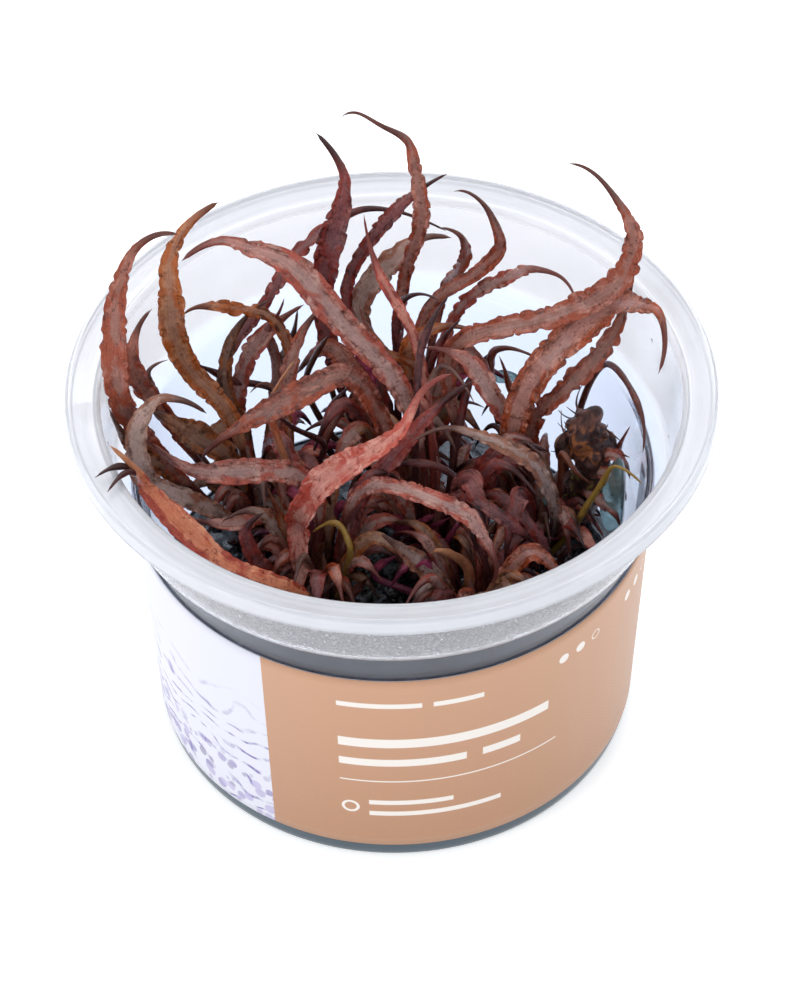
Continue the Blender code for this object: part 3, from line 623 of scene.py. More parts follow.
def leaf_flesh(name, deep, body, light, band, edge, stalk):
    """Leaf of a water trumpet just out of the cup's damp air: a thin wet cuticle over coloured flesh.

    The eye gets a dusky band along the midrib, rust in patches along the margins and tail, pale blotches
    drawn out along the blade, specks and fine veins, painted shade in the dents between the crimps and a
    painted highlight on their crests, a browner lower face, a broken gloss, and a stalk of its own colour
    that runs into the blade.
    """
    coat = {"Coat Weight": 0.55, "Coat Roughness": 0.14, "Coat IOR": 1.33}
    mat, shader, new = blank(name, {"IOR": 1.42, "Specular IOR Level": 0.45, **coat})
    marks = [new("Attribute", attribute_name=key, out="Fac") for key in MARKS]
    across, span, along, blade, crimp, under, reach, tone = marks
    place = new("TexCoord", out="Object")
    away = new("Math ABSOLUTE", (across,))
    cloud = new("TexNoise", {"Vector": place, "Scale": 420.0, "Detail": 4.0, "Distortion": 0.8})
    fine = new("TexNoise", {"Vector": place, "Scale": 2600.0, "Detail": 3.0, "Roughness": 0.65})
    speck = new("TexNoise", {"Vector": place, "Scale": 1500.0, "Detail": 3.0, "Distortion": 1.0})
    # places in the leaf's own millimetres, drawn out along it: streaks 0.7 mm apart, blotches 1.2 mm
    shift = new("Math MULTIPLY", (tone, 40.0))
    flow = new("CombineXYZ", (new("Math MULTIPLY", (along, 0.3)), span, shift))
    drift = new("CombineXYZ", (new("Math MULTIPLY", (along, 0.55)), span, shift))
    streak = new("TexNoise", {"Vector": flow, "Scale": 1.5, "Detail": 4.0, "Distortion": 0.3})
    grown = {"Scale": 0.85, "Detail": 5.0, "Roughness": 0.62, "Distortion": 0.9}
    blotch = new("TexNoise", {"Vector": drift, **grown})
    patch = new("TexNoise", {"Vector": drift, "Scale": 0.32, "Detail": 2.0})
    mottle = 0.1
    for source, share in ((cloud, 0.8), (streak, 0.9), (blotch, 0.5), (fine, 0.5), (tone, 0.12)):
        mottle = new("Math MULTIPLY_ADD", (source, share, mottle))
    mottle = new("MapRange", (mottle, 1.19, 1.66))
    flesh = new("ValToRGB", (mottle,), ((0.0, deep), (0.4, body), (1.0, light)))
    rusty = new("Mix", {0: new("MapRange", (mottle, -0.15, 0.55)), 6: deep, 7: edge}, **LAYER)
    # the band along the midrib fades out at a third to a half of the way to the margin
    ragged = new("Math MULTIPLY_ADD", (blotch, -1.0, away))
    ragged = new("Math MULTIPLY_ADD", (streak, -0.5, ragged))
    banded = new("MapRange", (ragged, -0.16, -0.5, 0.0, 0.75))
    # rust along the margins and the tail: patches some 5 mm long reach the midrib or leave the margin bare
    outer = new("Math MULTIPLY", (away, 0.8))
    outer = new("Math MULTIPLY_ADD", (patch, 3.0, outer))
    outer = new("Math MULTIPLY_ADD", (blotch, 1.2, outer))
    outer = new("MapRange", (outer, 2.45, 2.8, 0.0, 0.85))
    outer = new("Math MAXIMUM", (outer, new("MapRange", (reach, 0.72, 1.0, 0.0, 0.6))))
    # pale dusky blotches, and dark specks 0.5 mm across that gather in places
    pale = new("MapRange", (blotch, 0.43, 0.34, 0.0, 0.6))
    speck = new("Math MULTIPLY_ADD", (cloud, 0.5, speck))
    dark = new("MapRange", (speck, 0.86, 0.96, 0.0, 0.65))
    # veins along the blade, 0.55 mm apart
    veins = new("Math COSINE", (new("Math MULTIPLY", (span, 11.4)),))
    veins = new("MapRange", (veins, 0.6, 1.0, 0.0, 0.14))
    veins = new("Math MULTIPLY", (veins, blade))
    # painted shade in the dents at the margins, and a painted highlight on the crests where they would
    # catch the light
    dents = new("MapRange", (crimp, -0.15, -1.1, 0.0, 0.5))
    crest = new("MapRange", (crimp, 0.35, 1.3, 0.0, 0.4))
    lower = new("Math MULTIPLY", (under, 0.5))
    stem = new("MapRange", (blade, 0.75, 0.1, 0.0, 0.9))
    bare = new("Mix", {0: rusty, 6: deep, 7: stalk}, **LAYER)
    bare = new("Mix", {0: streak, 6: stalk, 7: bare}, **LAYER)
    layers = ((banded, band), (outer, rusty), (pale, light), (dark, deep), (veins, deep), (dents, deep))
    colour = flesh
    for share, over in (*layers, (crest, light), (lower, rusty), (stem, bare)):
        colour = new("Mix", {0: share, 6: colour, 7: over}, **LAYER)
    rough = new("MapRange", (streak, 0.35, 0.65, 0.26, 0.6))
    cells = new("TexVoronoi", {"Vector": place, "Scale": 1100.0}, feature="SMOOTH_F1")
    relief = fine
    for source, share in ((cells, 0.8), (veins, -0.9), (blotch, 1.4)):
        relief = new("Math MULTIPLY_ADD", (source, share, relief))
    finish_shader(shader, colour, rough, relief, 0.16)
    return mat


def milky_plastic():
    """Injection-moulded clear polypropylene: light passes, but the thick rim scatters a bluish white.

    The wall is clear and a little blue. Above the step the moulding is frosty and fogged with droplets
    at the front, so it shows pale over the dark plants. The rim has faint lines round it where the melt
    ran. Where the gel wets the wall from inside, no light comes back but the gel's own dark teal.
    """
    mat, shader, new = blank("moulded_polypropylene", {"IOR": 1.49})
    place = new("TexCoord", out="Object")
    height = new("SeparateXYZ", (place,), out="Z")
    depth = new("SeparateXYZ", (place,), out="Y")
    cloud = new("TexNoise", {"Vector": place, "Scale": 160.0, "Detail": 2.0})
    # lines round the rim, 1.1 mm apart: a noise of the distance from the axis alone
    level = new("VectorMath MULTIPLY", (place, (1.0, 1.0, 0.0)), out="Vector")
    radius = new("VectorMath LENGTH", (level,), out="Value")
    lines = new("TexNoise", {"W": radius, "Scale": 900.0, "Detail": 2.0}, noise_dimensions="1D")
    frosty = new("MapRange", (height, 0.0508, 0.0522, 0.0, 0.17))
    rim = new("MapRange", (height, 0.0645, 0.0656, 0.0, 0.34))
    gel = new("MapRange", (height, 0.0195, 0.0189))
    # fog: droplets 0.6 mm apart on the front of the band between step and rim, each with a pale ring
    drops = new("TexVoronoi", {"Vector": place, "Scale": 1600.0})
    front = new("MapRange", (depth, -0.012, -0.03))
    front = new("Math MULTIPLY", (front, between(new, height, 0.0518, 0.0635, 0.002)))
    ring = new("Math MULTIPLY", (between(new, drops, 0.14, 0.36, 0.06), front))
    drops = new("Math MULTIPLY", (new("MapRange", (drops, 0.42, 0.1)), front))
    milk = new("Math ADD", (frosty, rim))
    patchy = new("Math MULTIPLY_ADD", (lines, 0.35, 0.75))
    patchy = new("Math MULTIPLY_ADD", (cloud, 0.15, patchy))
    milk = new("Math MULTIPLY_ADD", (milk, patchy, 0.03))
    milk = new("Math MULTIPLY_ADD", (ring, 0.22, milk))
    milk = new("Math MAXIMUM", (milk, gel))
    clear = new("Math SUBTRACT", (1.0, milk), use_clamp=True)
    colour = new("MapRange", (height, 0.0508, 0.0522))
    colour = new("Mix", {0: colour, 6: "#D8E2F7", 7: "#F2F4FA"}, **LAYER)
    colour = new("Mix", {0: gel, 6: colour, 7: "#3E4E5A"}, **LAYER)
    rough = new("Math MULTIPLY_ADD", (frosty, 0.5, 0.05))
    relief = new("Math MULTIPLY_ADD", (lines, 0.05, drops))
    finish_shader(shader, colour, rough, relief, 0.2, clear)
    return mat


# the generic marks of the tan field: bars as left, right, low, high, and rings as x, z, outer, inner,
# where an inner radius below nothing makes a dot
BARS = (
    (-9.0, 4.0, 37.6, 38.8),
    (5.6, 13.5, 37.6, 38.8),
    (-9.0, 25.0, 28.0, 30.2),
    (-9.0, 11.0, 23.4, 25.2),
    (13.5, 20.0, 23.4, 25.2),
    (-9.0, 27.0, 19.4, 19.8),
    (-4.5, 9.0, 13.6, 14.8),
    (-4.5, 17.0, 10.8, 12.0),
)
RINGS = (
    (-7.4, 12.8, 1.5, 0.9),
    (27.5, 38.2, 1.0, -1.0),
    (31.0, 38.2, 1.0, -1.0),
    (34.5, 38.2, 1.0, 0.7),
    (44.0, 38.2, 1.0, -1.0),
    (47.5, 38.2, 1.0, -1.0),
    (51.0, 38.2, 1.0, 0.7),
)
PRINT_EDGE = 0.12
PANEL = (-95.0, -20.8)


def printed_wrap():
    """Printed polypropylene film: copper-tan ink with a fine linen screen, satin, on a white base.

    The panel on the left is bare white film with violet water ripples over rounded pebbles. The tan
    field has plain white bars, rings and dots in place of words.
    """
    mat, shader, new = blank("printed_film", {"Roughness": 0.42, "IOR": 1.49, "Coat Weight": 0.08})
    marks = [new("Attribute", attribute_name=key, out="Fac") for key in ("along", "across", "blade")]
    around, height, outside = marks
    place = new("CombineXYZ", (around, height))
    # linen screen: two crossed gratings 0.37 mm apart, coarser than print so that it shows
    weft, warp = [new("Math SINE", (new("Math MULTIPLY", (run, 17.0)),)) for run in (height, around)]
    grain = new("TexNoise", {"Vector": place, "Scale": 3.4, "Detail": 3.0})
    screen = new("Math MULTIPLY", (weft, warp))
    screen = new("Math MULTIPLY_ADD", (grain, 1.6, screen))
    screen = new("Math MULTIPLY_ADD", (screen, 0.25, 0.3))
    tan = new("ValToRGB", (screen,), ((0.15, "#A07252"), (0.5, "#B08262"), (0.9, "#C09474")))
    # painted light: the tan grows lighter towards the top, where more light falls from above
    high = new("MapRange", (height, 8.0, 42.0, 0.0, 0.5))
    tan = new("Mix", {0: high, 6: tan, 7: "#CC9E80"}, **LAYER)
    marks = []
    for left, right, low, high in BARS:
        wide = between(new, around, left, right, PRINT_EDGE)
        marks.append(new("Math MULTIPLY", (wide, between(new, height, low, high, PRINT_EDGE))))
    for x, z, outer, inner in RINGS:
        far = new("VectorMath DISTANCE", (place, (x, z, 0.0)), out="Value")
        marks.append(between(new, far, inner, outer, PRINT_EDGE))
    ink = marks[0]
    for mark in marks[1:]:
        ink = new("Math MAXIMUM", (ink, mark))
    field = new("Mix", {0: ink, 6: tan, 7: "#E6E0DA"}, **LAYER)
    # white panel: ripples 3 mm apart in its lower half, which a broad noise bends and a fine one breaks
    swell = new("TexNoise", {"Vector": place, "Scale": 0.07, "Detail": 2.0})
    wave = new("Math MULTIPLY_ADD", (swell, 16.0, height))
    wave = new("Math SINE", (new("Math MULTIPLY", (wave, 2.0)),))
    crest = new("MapRange", (wave, 0.70, 0.95))
    low = new("MapRange", (height, 33.0, 20.0))
    thin = new("TexNoise", {"Vector": place, "Scale": 0.35, "Detail": 4.0})
    thin = new("MapRange", (thin, 0.42, 0.6))
    ripple = new("Math MULTIPLY", (new("Math MULTIPLY", (crest, low)), thin))
    # pebbles 2 to 3 mm across along its foot, each in a grey or violet of its own
    near = new("TexVoronoi", {"Vector": place, "Scale": 0.42})
    own = new("TexVoronoi", {"Vector": place, "Scale": 0.42}, out="Color")
    bed = new("MapRange", (height, 15.5, 12.5, 0.0, 0.85))
    stone = new("Math MULTIPLY", (new("MapRange", (near, 0.46, 0.38)), bed))
    shade = new("ValToRGB", (own,), ((0.0, "#5E5894"), (0.5, "#B7B0D4"), (1.0, "#77738C")))
    panel = new("Mix", {0: ripple, 6: "#D6D7E2", 7: "#6A5EA2"}, **LAYER)
    panel = new("Mix", {0: stone, 6: panel, 7: shade}, **LAYER)
    side = between(new, around, *PANEL, 0.05)
    colour = new("Mix", {0: side, 6: field, 7: panel}, **LAYER)
    colour = new("Mix", {0: outside, 6: "#EEF0F4", 7: colour}, **LAYER)
    finish_shader(shader, colour, relief=screen, depth_mm=0.012)
    return mat


def nutrient_gel():
    """Set gellan gel with charcoal, broken by the roots: black wet jelly whose crumpled skin glints."""
    coat = {"Coat Weight": 1.0, "Coat IOR": 1.4}
    mat, shader, new = blank("charcoal_gel", {"IOR": 1.34, "Roughness": 0.09, **coat})
    place = new("TexCoord", out="Object")
    cloud = new("TexNoise", {"Vector": place, "Scale": 250.0, "Detail": 4.0})
    crumple = new("TexNoise", {"Vector": place, "Scale": 850.0, "Detail": 3.0, "Distortion": 1.5})
    colour = new("ValToRGB", (cloud,), ((0.3, "#040506"), (0.6, "#0B0E10"), (0.85, "#1C2427")))
    finish_shader(shader, colour, relief=crumple, depth_mm=0.6)
    return mat


def teal_jelly():
    """A lump of the same gel without much charcoal: clear teal, with a wet skin."""
    clear = {"Transmission Weight": 0.65, "Coat Weight": 0.5}
    mat, shader, new = blank("teal_jelly", {"IOR": 1.34, "Roughness": 0.1, **clear})
    place = new("TexCoord", out="Object")
    cloud = new("TexNoise", {"Vector": place, "Scale": 400.0, "Detail": 3.0})
    dents = new("TexNoise", {"Vector": place, "Scale": 1200.0, "Detail": 3.0})
    colour = new("ValToRGB", (cloud,), ((0.3, "#8AAEB2"), (0.6, "#AECBCE"), (0.85, "#D2E4E4")))
    finish_shader(shader, colour, relief=dents, depth_mm=0.12)
    return mat


def wet_crown():
    """Stem base with its sheaths: wet plant flesh, brown to wine red, with strings along it."""
    coat = {"Coat Weight": 0.7, "Coat Roughness": 0.08, "Coat IOR": 1.33}
    mat, shader, new = blank("wet_stem_base", {"IOR": 1.4, **coat})
    place = new("TexCoord", out="Object")
    cloud = new("TexNoise", {"Vector": place, "Scale": 500.0, "Detail": 4.0, "Distortion": 0.8})
    strings = new("TexNoise", {"Vector": place, "Scale": 2000.0, "Detail": 4.0})
    stops = ((0.3, "#1A0C0C"), (0.5, "#42211D"), (0.72, "#764234"), (0.9, "#A06A4A"))
    colour = new("ValToRGB", (cloud,), stops)
    rough = new("MapRange", (cloud, 0.0, 1.0, 0.1, 0.5))
    finish_shader(shader, colour, rough, strings, 0.2)
    return mat


def old_rhizome_flesh():
    """Rotting rhizome: dark skin that has come away in patches over orange and olive flesh."""
    mat, shader, new = blank("rotting_rhizome", {"IOR": 1.4, "Coat Weight": 0.3, "Coat Roughness": 0.2})
    place = new("TexCoord", out="Object")
    height = new("SeparateXYZ", (place,), out="Z")
    cloud = new("TexNoise", {"Vector": place, "Scale": 400.0, "Detail": 5.0, "Distortion": 1.2})
    grit = new("TexNoise", {"Vector": place, "Scale": 1700.0, "Detail": 5.0, "Roughness": 0.7})
    stops = ((0.32, "#1E0F0D"), (0.48, "#54302A"), (0.62, "#845244"), (0.78, "#AC7C6E"))
    colour = new("ValToRGB", (cloud,), stops)
    worn = new("MapRange", (cloud, 0.52, 0.6))
    flesh = ((0.0385, 0.0465, 0.0015, "#B46C3C"), (0.0270, 0.0375, 0.002, "#7C7630"))
    for low, high, soft, code in flesh:
        bare = new("Math MULTIPLY", (worn, between(new, height, low, high, soft)))
        colour = new("Mix", {0: bare, 6: colour, 7: code}, **LAYER)
    rough = new("MapRange", (cloud, 0.0, 1.0, 0.25, 0.7))
    finish_shader(shader, colour, rough, grit, 0.6)
    return mat


def condensed_water():
    """Condensation: clear water beads on the cold inner wall, with a little dust in their skin."""
    white = {"Base Color": linear("#FFFFFF")}
    mat, shader, new = blank("condensed_water", {"IOR": 1.333, "Transmission Weight": 1.0, **white})
    dust = new("TexNoise", {"Vector": new("TexCoord", out="Object"), "Scale": 2000.0, "Detail": 1.0})
    finish_shader(shader, rough=new("MapRange", (dust, 0.0, 1.0, 0.0, 0.04)))
    return mat


def studio_floor():
    """Backlit white acrylic table: matt white, a little light of its own, so that it prints white."""
    glow = {"Emission Strength": 0.42, "Emission Color": linear("#FFFFFF")}
    mat, shader, new = blank("white_acrylic_table", {"Roughness": 0.9, **glow})
    haze = new("TexNoise", {"Vector": new("TexCoord", out="Object"), "Scale": 3.3, "Detail": 1.0})
    finish_shader(shader, new("ValToRGB", (haze,), ((0.0, "#F8F9FB"), (1.0, "#FCFCFC"))))
    return mat


LEAVES = {tone: leaf_flesh("leaf_flesh_" + tone, *codes) for tone, codes in LEAF_COLOURS.items()}
PLASTIC = milky_plastic()
FILM = printed_wrap()
GEL = nutrient_gel()
JELLY = teal_jelly()
CROWN = wet_crown()
RHIZOME_SKIN = old_rhizome_flesh()
WATER = condensed_water()


def make_cup():
    """The moulded cup: its profile with rounded corners, turned round the axis."""
    # radius, height and the reach of the curve at each corner, from the floor's middle up the inside
    profile = (
        (0.4, FLOOR, 0),
        (BASE_R - 0.6, FLOOR, 1.5),
        (WALL_FOOT_R - WALL, WALL_FOOT_Z + 0.4, 1.5),
        (WALL_TOP_R - WALL, WALL_TOP_Z + 0.3, 0.8),
        (STEP_R - WALL, STEP_Z + 0.3, 0.8),
        (FLANGE_R, FLANGE_Z, 0.6),
        (FLANGE_R + 0.7, FLANGE_Z + 0.55, 0.3),
        (FLANGE_R + 1.2, FLANGE_Z + 0.35, 0.3),
        (RIM_R - 1.2, RIM_Z - 0.35, 0.4),
        (RIM_R - 0.7, RIM_Z, 0.4),
        (RIM_R - 0.1, RIM_Z - 0.3, 0.4),
        (RIM_R + 0.2, SKIRT_Z, 0.15),
        (RIM_R - 0.5, SKIRT_Z, 0.15),
        (RIM_R - 0.8, RIM_Z - 1.2, 0.5),
        (FLANGE_R + 0.8, FLANGE_Z - 0.7, 0.8),
        (STEP_R, STEP_Z, 1.0),
        (WALL_TOP_R, WALL_TOP_Z, 1.0),
        (WALL_FOOT_R + 0.2, WALL_FOOT_Z, 1.0),
        (BASE_R + 0.4, 0.0, 0.5),
        (BASE_R - 1.4, 0.0, 0.3),
        (BASE_R - 1.9, 0.35, 0.3),
        (0.4, 0.35, 0),
    )
    corners = np.array(profile)
    line = spaced(filleted(corners[:, :2], corners[:, 2]), 4.0)
    piece = make_piece("moulded_cup", [turned_patch(line, 256)], [PLASTIC])
    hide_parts("cup")


def make_beads():
    """Condensation: flat domes on the front of the inner wall above the step. A bead's own axes run across
    the wall, up it and inward, and a dome falls from 1 to nearly nothing as a cosine does."""
    rng = np.random.default_rng(11)
    turn = rng.normal(-math.pi / 2, 0.75, BEADS)
    z = rng.uniform(STEP_Z + 0.9, FLANGE_Z - 0.9, BEADS)
    size = 0.10 + 0.30 * rng.random(BEADS) ** 3
    slope = (FLANGE_R - STEP_R + WALL) / (FLANGE_Z - STEP_Z - 0.3)
    wall = STEP_R - WALL + slope * (z - STEP_Z - 0.3) - 0.02
    nothing = 0 * turn
    centre = np.stack([wall * np.cos(turn), wall * np.sin(turn), z], 1)
    across = np.stack([-np.sin(turn), np.cos(turn), nothing], 1)
    inward = np.stack([-np.cos(turn), -np.sin(turn), nothing], 1)
    axes = np.stack([across, np.broadcast_to((0.0, 0.0, 1.15), across.shape), inward * 0.55], 1)
    rise = np.linspace(0, math.pi / 2, 4)[:, None]
    q = np.arange(8) * TURN / 8
    flat = np.maximum(np.cos(rise), 0.08)
    dome = np.stack([flat * np.cos(q), flat * np.sin(q), np.sin(rise) + 0 * q], -1)
    beads = [tube_patch(at + grow * dome @ frame_of) for at, grow, frame_of in zip(centre, size, axes)]
    make_piece("condensation_beads", beads, [WATER])


def make_label():
    """The wrap: a thin section, up on the outside and down on the inside, carried round the front of
    the wall from its left end to its right end. Its marks are placed along the arc and in height."""
    turn = np.radians(np.linspace(-90 - LABEL_HALF_TURN, -90 + LABEL_HALF_TURN, 241))[:, None]
    z = np.linspace(LABEL_FOOT_Z, LABEL_TOP_Z, 24)
    section = [(0.42, v) for v in z] + [(0.34, LABEL_TOP_Z + 0.04)] + [(0.16, v) for v in z[::-1]]
    off_wall, height = np.array(section + [(0.34, LABEL_FOOT_Z - 0.04)]).T[:, None, :]
    radius = wall_radius(height) + off_wall
    points = np.stack([radius * np.cos(turn), radius * np.sin(turn), height + 0 * turn], -1)
    around = (turn + math.pi / 2) * LABEL_ARC_R
    patch = tube_patch(points, along=around, across=height, blade=(off_wall > 0.3).astype(float))
    piece = make_piece("printed_wrap", [patch], [FILM])
    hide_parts("label")


def gel_height(x, y):
    """Height of the gel's skin over the flat level: three long swells and crumples of a few millimetres."""
    h = 0.22 * np.sin(0.42 * x + 0.9) * np.cos(0.37 * y - 0.4)
    h += 0.14 * np.sin(0.9 * x - 0.55 * y + 2.0)
    h += 0.14 * np.sin(0.65 * y + 1.15 * x + 0.3) * np.sin(0.8 * y - 0.2)
    h += 0.09 * np.sin(2.1 * x + 1.4 * y) + 0.08 * np.cos(2.6 * y - 1.7 * x + 1.0)
    h += 0.07 * np.sin(3.9 * x - 0.8 * y) * np.sin(3.3 * y + 1.2 * x)
    return h


def make_gel():
    """The gel: a turned disc whose skin follows gel_height, and broken lumps of it on top."""
    top = wall_radius(GEL_TOP_Z) - WALL - 0.06
    foot = WALL_FOOT_R - WALL - 0.1
    low = 3.6
    profile = [(0.3, GEL_TOP_Z)] + [(r, GEL_TOP_Z) for r in np.linspace(0.8, top - 0.8, 76)]
    profile += [(top - 0.2, GEL_TOP_Z + 0.25), (top, GEL_TOP_Z + 0.1)]
    profile += [(foot + (top - foot) * t, low + (GEL_TOP_Z - low) * t) for t in np.linspace(0.9, 0, 9)]
    profile += [(BASE_R - 0.9, 1.25), (BASE_R - 2.0, 1.1), (0.3, 1.1)]
    patch = turned_patch(profile, 240)
    p = patch["points"]
    skin = p[:, 2] > GEL_TOP_Z - 0.02
    edge = np.clip((top - np.hypot(p[:, 0], p[:, 1])) / 2.0, 0, 1)
    p[skin, 2] += (gel_height(p[:, 0], p[:, 1]) * edge)[skin]
    piece = make_piece("nutrient_gel", [patch], [GEL])
    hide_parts("gel")
    rng = np.random.default_rng(5)
    lumps = []
    for i in range(GEL_LUMPS):
        r, t = GEL_LUMP_LIMIT_R * math.sqrt(rng.random()), rng.uniform(0, TURN)
        x, y = r * math.cos(t), r * math.sin(t)
        s = rng.uniform(0.6, 2.2)
        z = GEL_TOP_Z + float(gel_height(x, y)) + 0.1 * s
        lumps.append(lump_patch((x, y, z), (s, s * rng.uniform(0.7, 1.2), s * 0.6), 900 + i, roughness=0.4))
    make_piece("jelly_lumps", lumps, [GEL])


def young_leaves(crown, seed):
    """Rows like those of SHOOTS for the leaves that only fill a crown. Each rises from the ring, leans
    outward and bends over. The taller ones are wider."""
    x, y, top = CROWNS[crown]
    tall = (top - 28) / 4
    tones = ("maroon", "brown", "wine", "mauve", "rust", "maroon", "mauve", "grey", "brick", "pink")
    rng = np.random.default_rng(seed)
    rows = []
    for i in range(YOUNG_LEAVES):
        turn = i * GOLDEN_ANGLE + rng.uniform(-25, 25)
        lean = np.array([math.cos(math.radians(turn)), math.sin(math.radians(turn)), 0])
        high = rng.uniform(5, 14) + 13 * tall * rng.random() ** 2
        reach = rng.uniform(3.5, 8.0) + 0.25 * high
        foot = np.array([x, y, CROWN_TOP_Z]) + lean * RING_R * 0.8
        bend = np.array([-lean[1], lean[0], 0]) * rng.uniform(-4.0, 4.0)
        middle = foot + lean * reach * 0.3 + bend * 0.3 + (0, 0, high * 0.62)
        crest = foot + lean * reach * 0.7 + bend * 0.7 + (0, 0, high)
        end = foot + lean * reach * 1.2 + bend * 1.2 + (0, 0, high * rng.uniform(0.5, 0.95))
        wide = rng.uniform(0.9, 2.0) + 0.1 * high * rng.random()
        tone = tones[int(rng.integers(len(tones)))]
        if np.hypot(end[0], end[1]) < YOUNG_LEAF_LIMIT_R:
            rows.append((tone, wide, rng.uniform(0.25, 0.5), turn, [middle, crest, end]))
    return rows


def foot_on_ring(crown, degrees, inward=1.0):
    """Where a leaf's stalk leaves its crown: on a ring round the spike, down in the mound."""
    x, y, _ = CROWNS[crown]
    turn = math.radians(degrees)
    r = RING_R * inward
    return (x + r * math.cos(turn), y + r * math.sin(turn), CROWN_TOP_Z - 0.6)


def crown_mound(x, y, index, slot):
    """The stem base: a turned mound whose radius swells with 5, 9 and 14 lobes round it."""
    rise = CROWN_TOP_Z - GEL_TOP_Z
    shares = np.linspace(0.03, 1, 22)
    profile = [(CROWN_FOOT_R * 1.02 * t, GEL_TOP_Z - 0.3 + rise * (1 - t**3.2)) for t in shares]
    mound = turned_patch(profile, 48, slot=slot)
    p = mound["points"]
    q = np.arctan2(p[:, 1], p[:, 0])
    far = np.hypot(p[:, 0], p[:, 1]) / CROWN_FOOT_R
    lobes = 0.16 * np.sin(5 * q + index) + 0.10 * np.sin(9 * q + 7 * far + 2 * index)
    lobes += 0.07 * np.sin(14 * q - 9 * far)
    p[:, :2] *= (1 + lobes * far)[:, None] * 0.95
    p[:, 2] += 0.35 * np.sin(6 * q + 4 * far + index) * far * (1 - far)
    p += (x, y, 0)
    return mound


def make_crowns():
    """Each crown: a lobed mound, a sheath at the foot of each leaf, a furled spike and young leaves."""
    tones = list(LEAVES)
    bark, rust = len(tones), tones.index("rust")
    for index, (crown, (x, y, top)) in enumerate(CROWNS.items()):
        patches = [crown_mound(x, y, index, bark)]
        rows = [*SHOOTS[crown], *young_leaves(crown, 40 + index)]
        feet = [row[4] for row in PLANTS[crown]] + [row[3] for row in rows]
        for k, degrees in enumerate(feet):
            fx, fy, fz = foot_on_ring(crown, degrees, 1.02)
            ox, oy = (fx - x) * 0.22, (fy - y) * 0.22
            sheath = [(fx + ox, fy + oy, fz - 2.0), (fx + ox * 0.3, fy + oy * 0.3, fz), (fx, fy, fz + 2.2)]
            patches.append(cord_patch(sheath, [1.15, 1.0, 0.55], 12, 14, 60 + k, 0.08, slot=bark))
        spike = [(x, y, CROWN_TOP_Z - 1), (x + 0.3, y - 0.2, (top + CROWN_TOP_Z) / 2), (x, y, top)]
        patches.append(cord_patch(spike, [1.3, 1.1, 0.75, 0.15], 20, 60, index, 0.1, 1.6, rust, blade=0.7))
        for k, (tone, wide, start, degrees, points) in enumerate(rows):
            route = [foot_on_ring(crown, degrees, 0.9), *points]
            grain, rounds = (0.42, 16) if wide > 1.75 else (0.5, 10)
            seed = 300 + 50 * index + k
            patches.append(leaf_patch(route, wide, start, seed, None, grain, rounds, tones.index(tone)))
        if crown == "crown_front":
            for k, (tone, wide, start, points) in enumerate(SPURS):
                looks = {"ruffle": 0.05}
                patches.append(leaf_patch(points, wide, start, 20 + k, looks, 0.3, 14, tones.index(tone)))
        piece = make_piece(crown + "_growth", patches, [*LEAVES.values(), CROWN])
        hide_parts(crown)


# knobs of the old rhizome where leaves and roots were: centre, size
KNOBS = (
    ((30.5, 12.5, 44.5), (3.1, 2.7, 2.6)),
    ((33.2, 11.0, 33.5), (2.6, 2.4, 3.4)),
    ((31.2, 15.5, 26.5), (3.0, 2.6, 2.4)),
    ((28.6, 13.5, 39.0), (1.8, 1.8, 2.2)),
    ((34.2, 13.5, 40.0), (1.9, 1.9, 1.6)),
    ((29.8, 12.0, 30.0), (1.6, 1.9, 2.2)),
)
# the withered scales at its right: width, roll in degrees, midrib
SCALES = (
    (2.6, -25, [(32, 10, 36), (34.5, 7.5, 39), (36.5, 5.5, 38), (37.5, 5.0, 35)]),
    (2.2, 0, [(33, 11, 38), (35.5, 9.5, 41), (37.2, 8.5, 40), (38.2, 8.0, 37)]),
    (2.4, 25, [(31, 9, 33), (33, 5.5, 35), (35.5, 3.5, 34), (36.5, 3.0, 31)]),
    (1.8, 50, [(29, 10, 30), (30, 6, 33), (32, 3, 33), (34, 1.5, 30)]),
)
# bits of clear teal jelly: one slab on the right-hand wall, crumbs among the leaves: centre, size
TEAL_BITS = (
    ((36.0, 6.5, 34.0), (1.9, 3.2, 6.4)),
    ((19.0, 33.4, 36.0), (2.4, 0.9, 1.5)),
    ((-10.0, 35.6, 33.6), (1.5, 1.0, 0.9)),
    ((24.8, 11.2, 29.0), (0.9, 0.8, 1.0)),
    ((26.0, 3.0, 23.0), (1.0, 0.8, 0.8)),
    ((28.5, 13.5, 23.0), (0.9, 1.0, 0.7)),
    ((20.0, -1.0, 22.6), (0.9, 0.7, 0.6)),
)


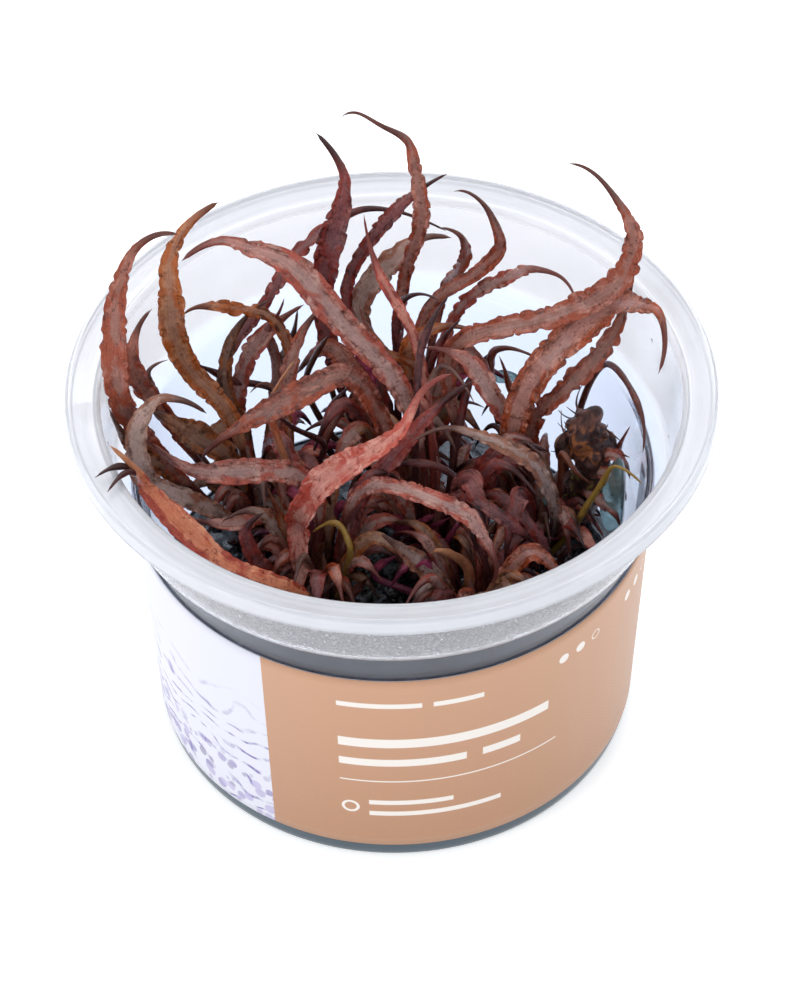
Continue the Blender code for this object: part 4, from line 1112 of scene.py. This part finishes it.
def make_rhizome():
    """The old rhizome: a lumpy stem with knobs, withered scales and wiry roots, and jelly round it."""
    stem = [p[:3] for p in RHIZOME]
    patches = [cord_patch(stem, [p[3] for p in RHIZOME], 40, 110, 3, 0.16, 1.5)]
    patches += [lump_patch(at, size, 70 + k, 30, 40, 0.42) for k, (at, size) in enumerate(KNOBS)]
    for k, (wide, roll, points) in enumerate(SCALES):
        looks = {"ruffle": 0.45, "wave": 2.2, "roll": roll}
        patches.append(leaf_patch(points, wide, 0.1, 170 + k, looks, slot=1))
    rng = np.random.default_rng(23)
    for k in range(HAIR_ROOTS):
        start = np.array([31.5, 12.5, rng.uniform(24, 47)])
        turn = rng.uniform(0, TURN)
        reach = np.array([math.cos(turn), math.sin(turn), 0.0]) * rng.uniform(3.2, 6.0)
        end = start + reach + (0, 0, rng.uniform(-4, 4))
        middle = start + reach * 0.6 + rng.normal(0, 1.0, 3)
        if np.hypot(end[0], end[1]) < HAIR_ROOT_LIMIT_R:
            patches.append(cord_patch([start, middle, end], [0.24, 0.16, 0.05], 6, 18, 80 + k, 0.1))
    piece = make_piece("rotting_rhizome_stem", patches, [RHIZOME_SKIN, LEAVES["mauve"]])
    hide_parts("old_rhizome")
    bits = [lump_patch(at, size, 44 + k, 30, 36, 0.3) for k, (at, size) in enumerate(TEAL_BITS)]
    make_piece("teal_jelly_slab", bits, [JELLY])


def make_leaves():
    """Every big leaf, each in a piece of its own that stands for its solid."""
    for index, (crown, leaves) in enumerate(PLANTS.items()):
        for k, (name, tone, widest, start, degrees, *looks, points) in enumerate(leaves):
            looks = dict(zip(looks[::2], looks[1::2]))
            route = [foot_on_ring(crown, degrees), *points]
            patch = leaf_patch(route, widest, start, 1000 + 40 * index + k, looks)
            piece = make_piece(name + "_leaf", [patch], [LEAVES[looks.get("finish", tone)]])
            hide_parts("leaf_" + name)


def set_camera():
    """The photograph's view, worked out from the rim, step, wrap and base ellipses."""
    ahead = Vector((0.0, math.cos(ELEVATION), -math.sin(ELEVATION)))
    tilt = Matrix.Rotation(math.pi / 2 - ELEVATION, 4, "X") @ Matrix.Rotation(ROLL, 4, "Z")
    data = bpy.data.cameras.new("photo_camera")
    data.lens = LENS
    data.sensor_fit = "VERTICAL"
    data.sensor_height = data.sensor_width = SENSOR
    data.clip_start, data.clip_end = 0.01, 20.0
    camera = bpy.data.objects.new("photo_camera", data)
    camera.matrix_world = Matrix.Translation(LOOK_AT - ahead * DISTANCE) @ tilt
    bpy.context.scene.collection.objects.link(camera)
    bpy.context.scene.camera = camera


def softbox(name, place, size, power):
    """A square soft light that faces the plants. Lengths are metres."""
    data = bpy.data.lights.new(name, "AREA")
    data.energy = power
    data.size = size
    light = bpy.data.objects.new(name, data)
    light.location = place
    toward = Vector((0, 0, 0.05)) - Vector(place)
    light.rotation_euler = toward.to_track_quat("-Z", "Y").to_euler()
    bpy.context.scene.collection.objects.link(light)


def set_studio():
    """A white table and room, a softbox behind that puts wet glints on the leaves, one at front left."""
    mesh = bpy.data.meshes.new("table_top")
    corners = [(-3.0, -3.0), (3.0, -3.0), (3.0, 3.0), (-3.0, 3.0)]
    mesh.from_pydata([(x, y, -0.0002) for x, y in corners], [], [(0, 1, 2, 3)])
    mesh.materials.append(studio_floor())
    table = bpy.data.objects.new("table_top", mesh)
    bpy.context.scene.collection.objects.link(table)
    world = bpy.data.worlds.new("white_room")
    world.use_nodes = True
    light = world.node_tree.nodes["Background"]
    light.inputs["Color"].default_value = (0.97, 0.985, 1.0, 1.0)
    light.inputs["Strength"].default_value = 0.86
    bpy.context.scene.world = world
    softbox("back_light", (0.1, 0.62, 0.75), 0.5, 2.4)
    softbox("front_left_light", (-0.6, -0.5, 0.55), 0.35, 1.6)
    bpy.context.scene.view_settings.view_transform = "Standard"
    bpy.context.scene.view_settings.look = "None"


set_camera()
make_cup()
make_beads()
make_label()
make_gel()
make_crowns()
make_rhizome()
make_leaves()
set_studio()
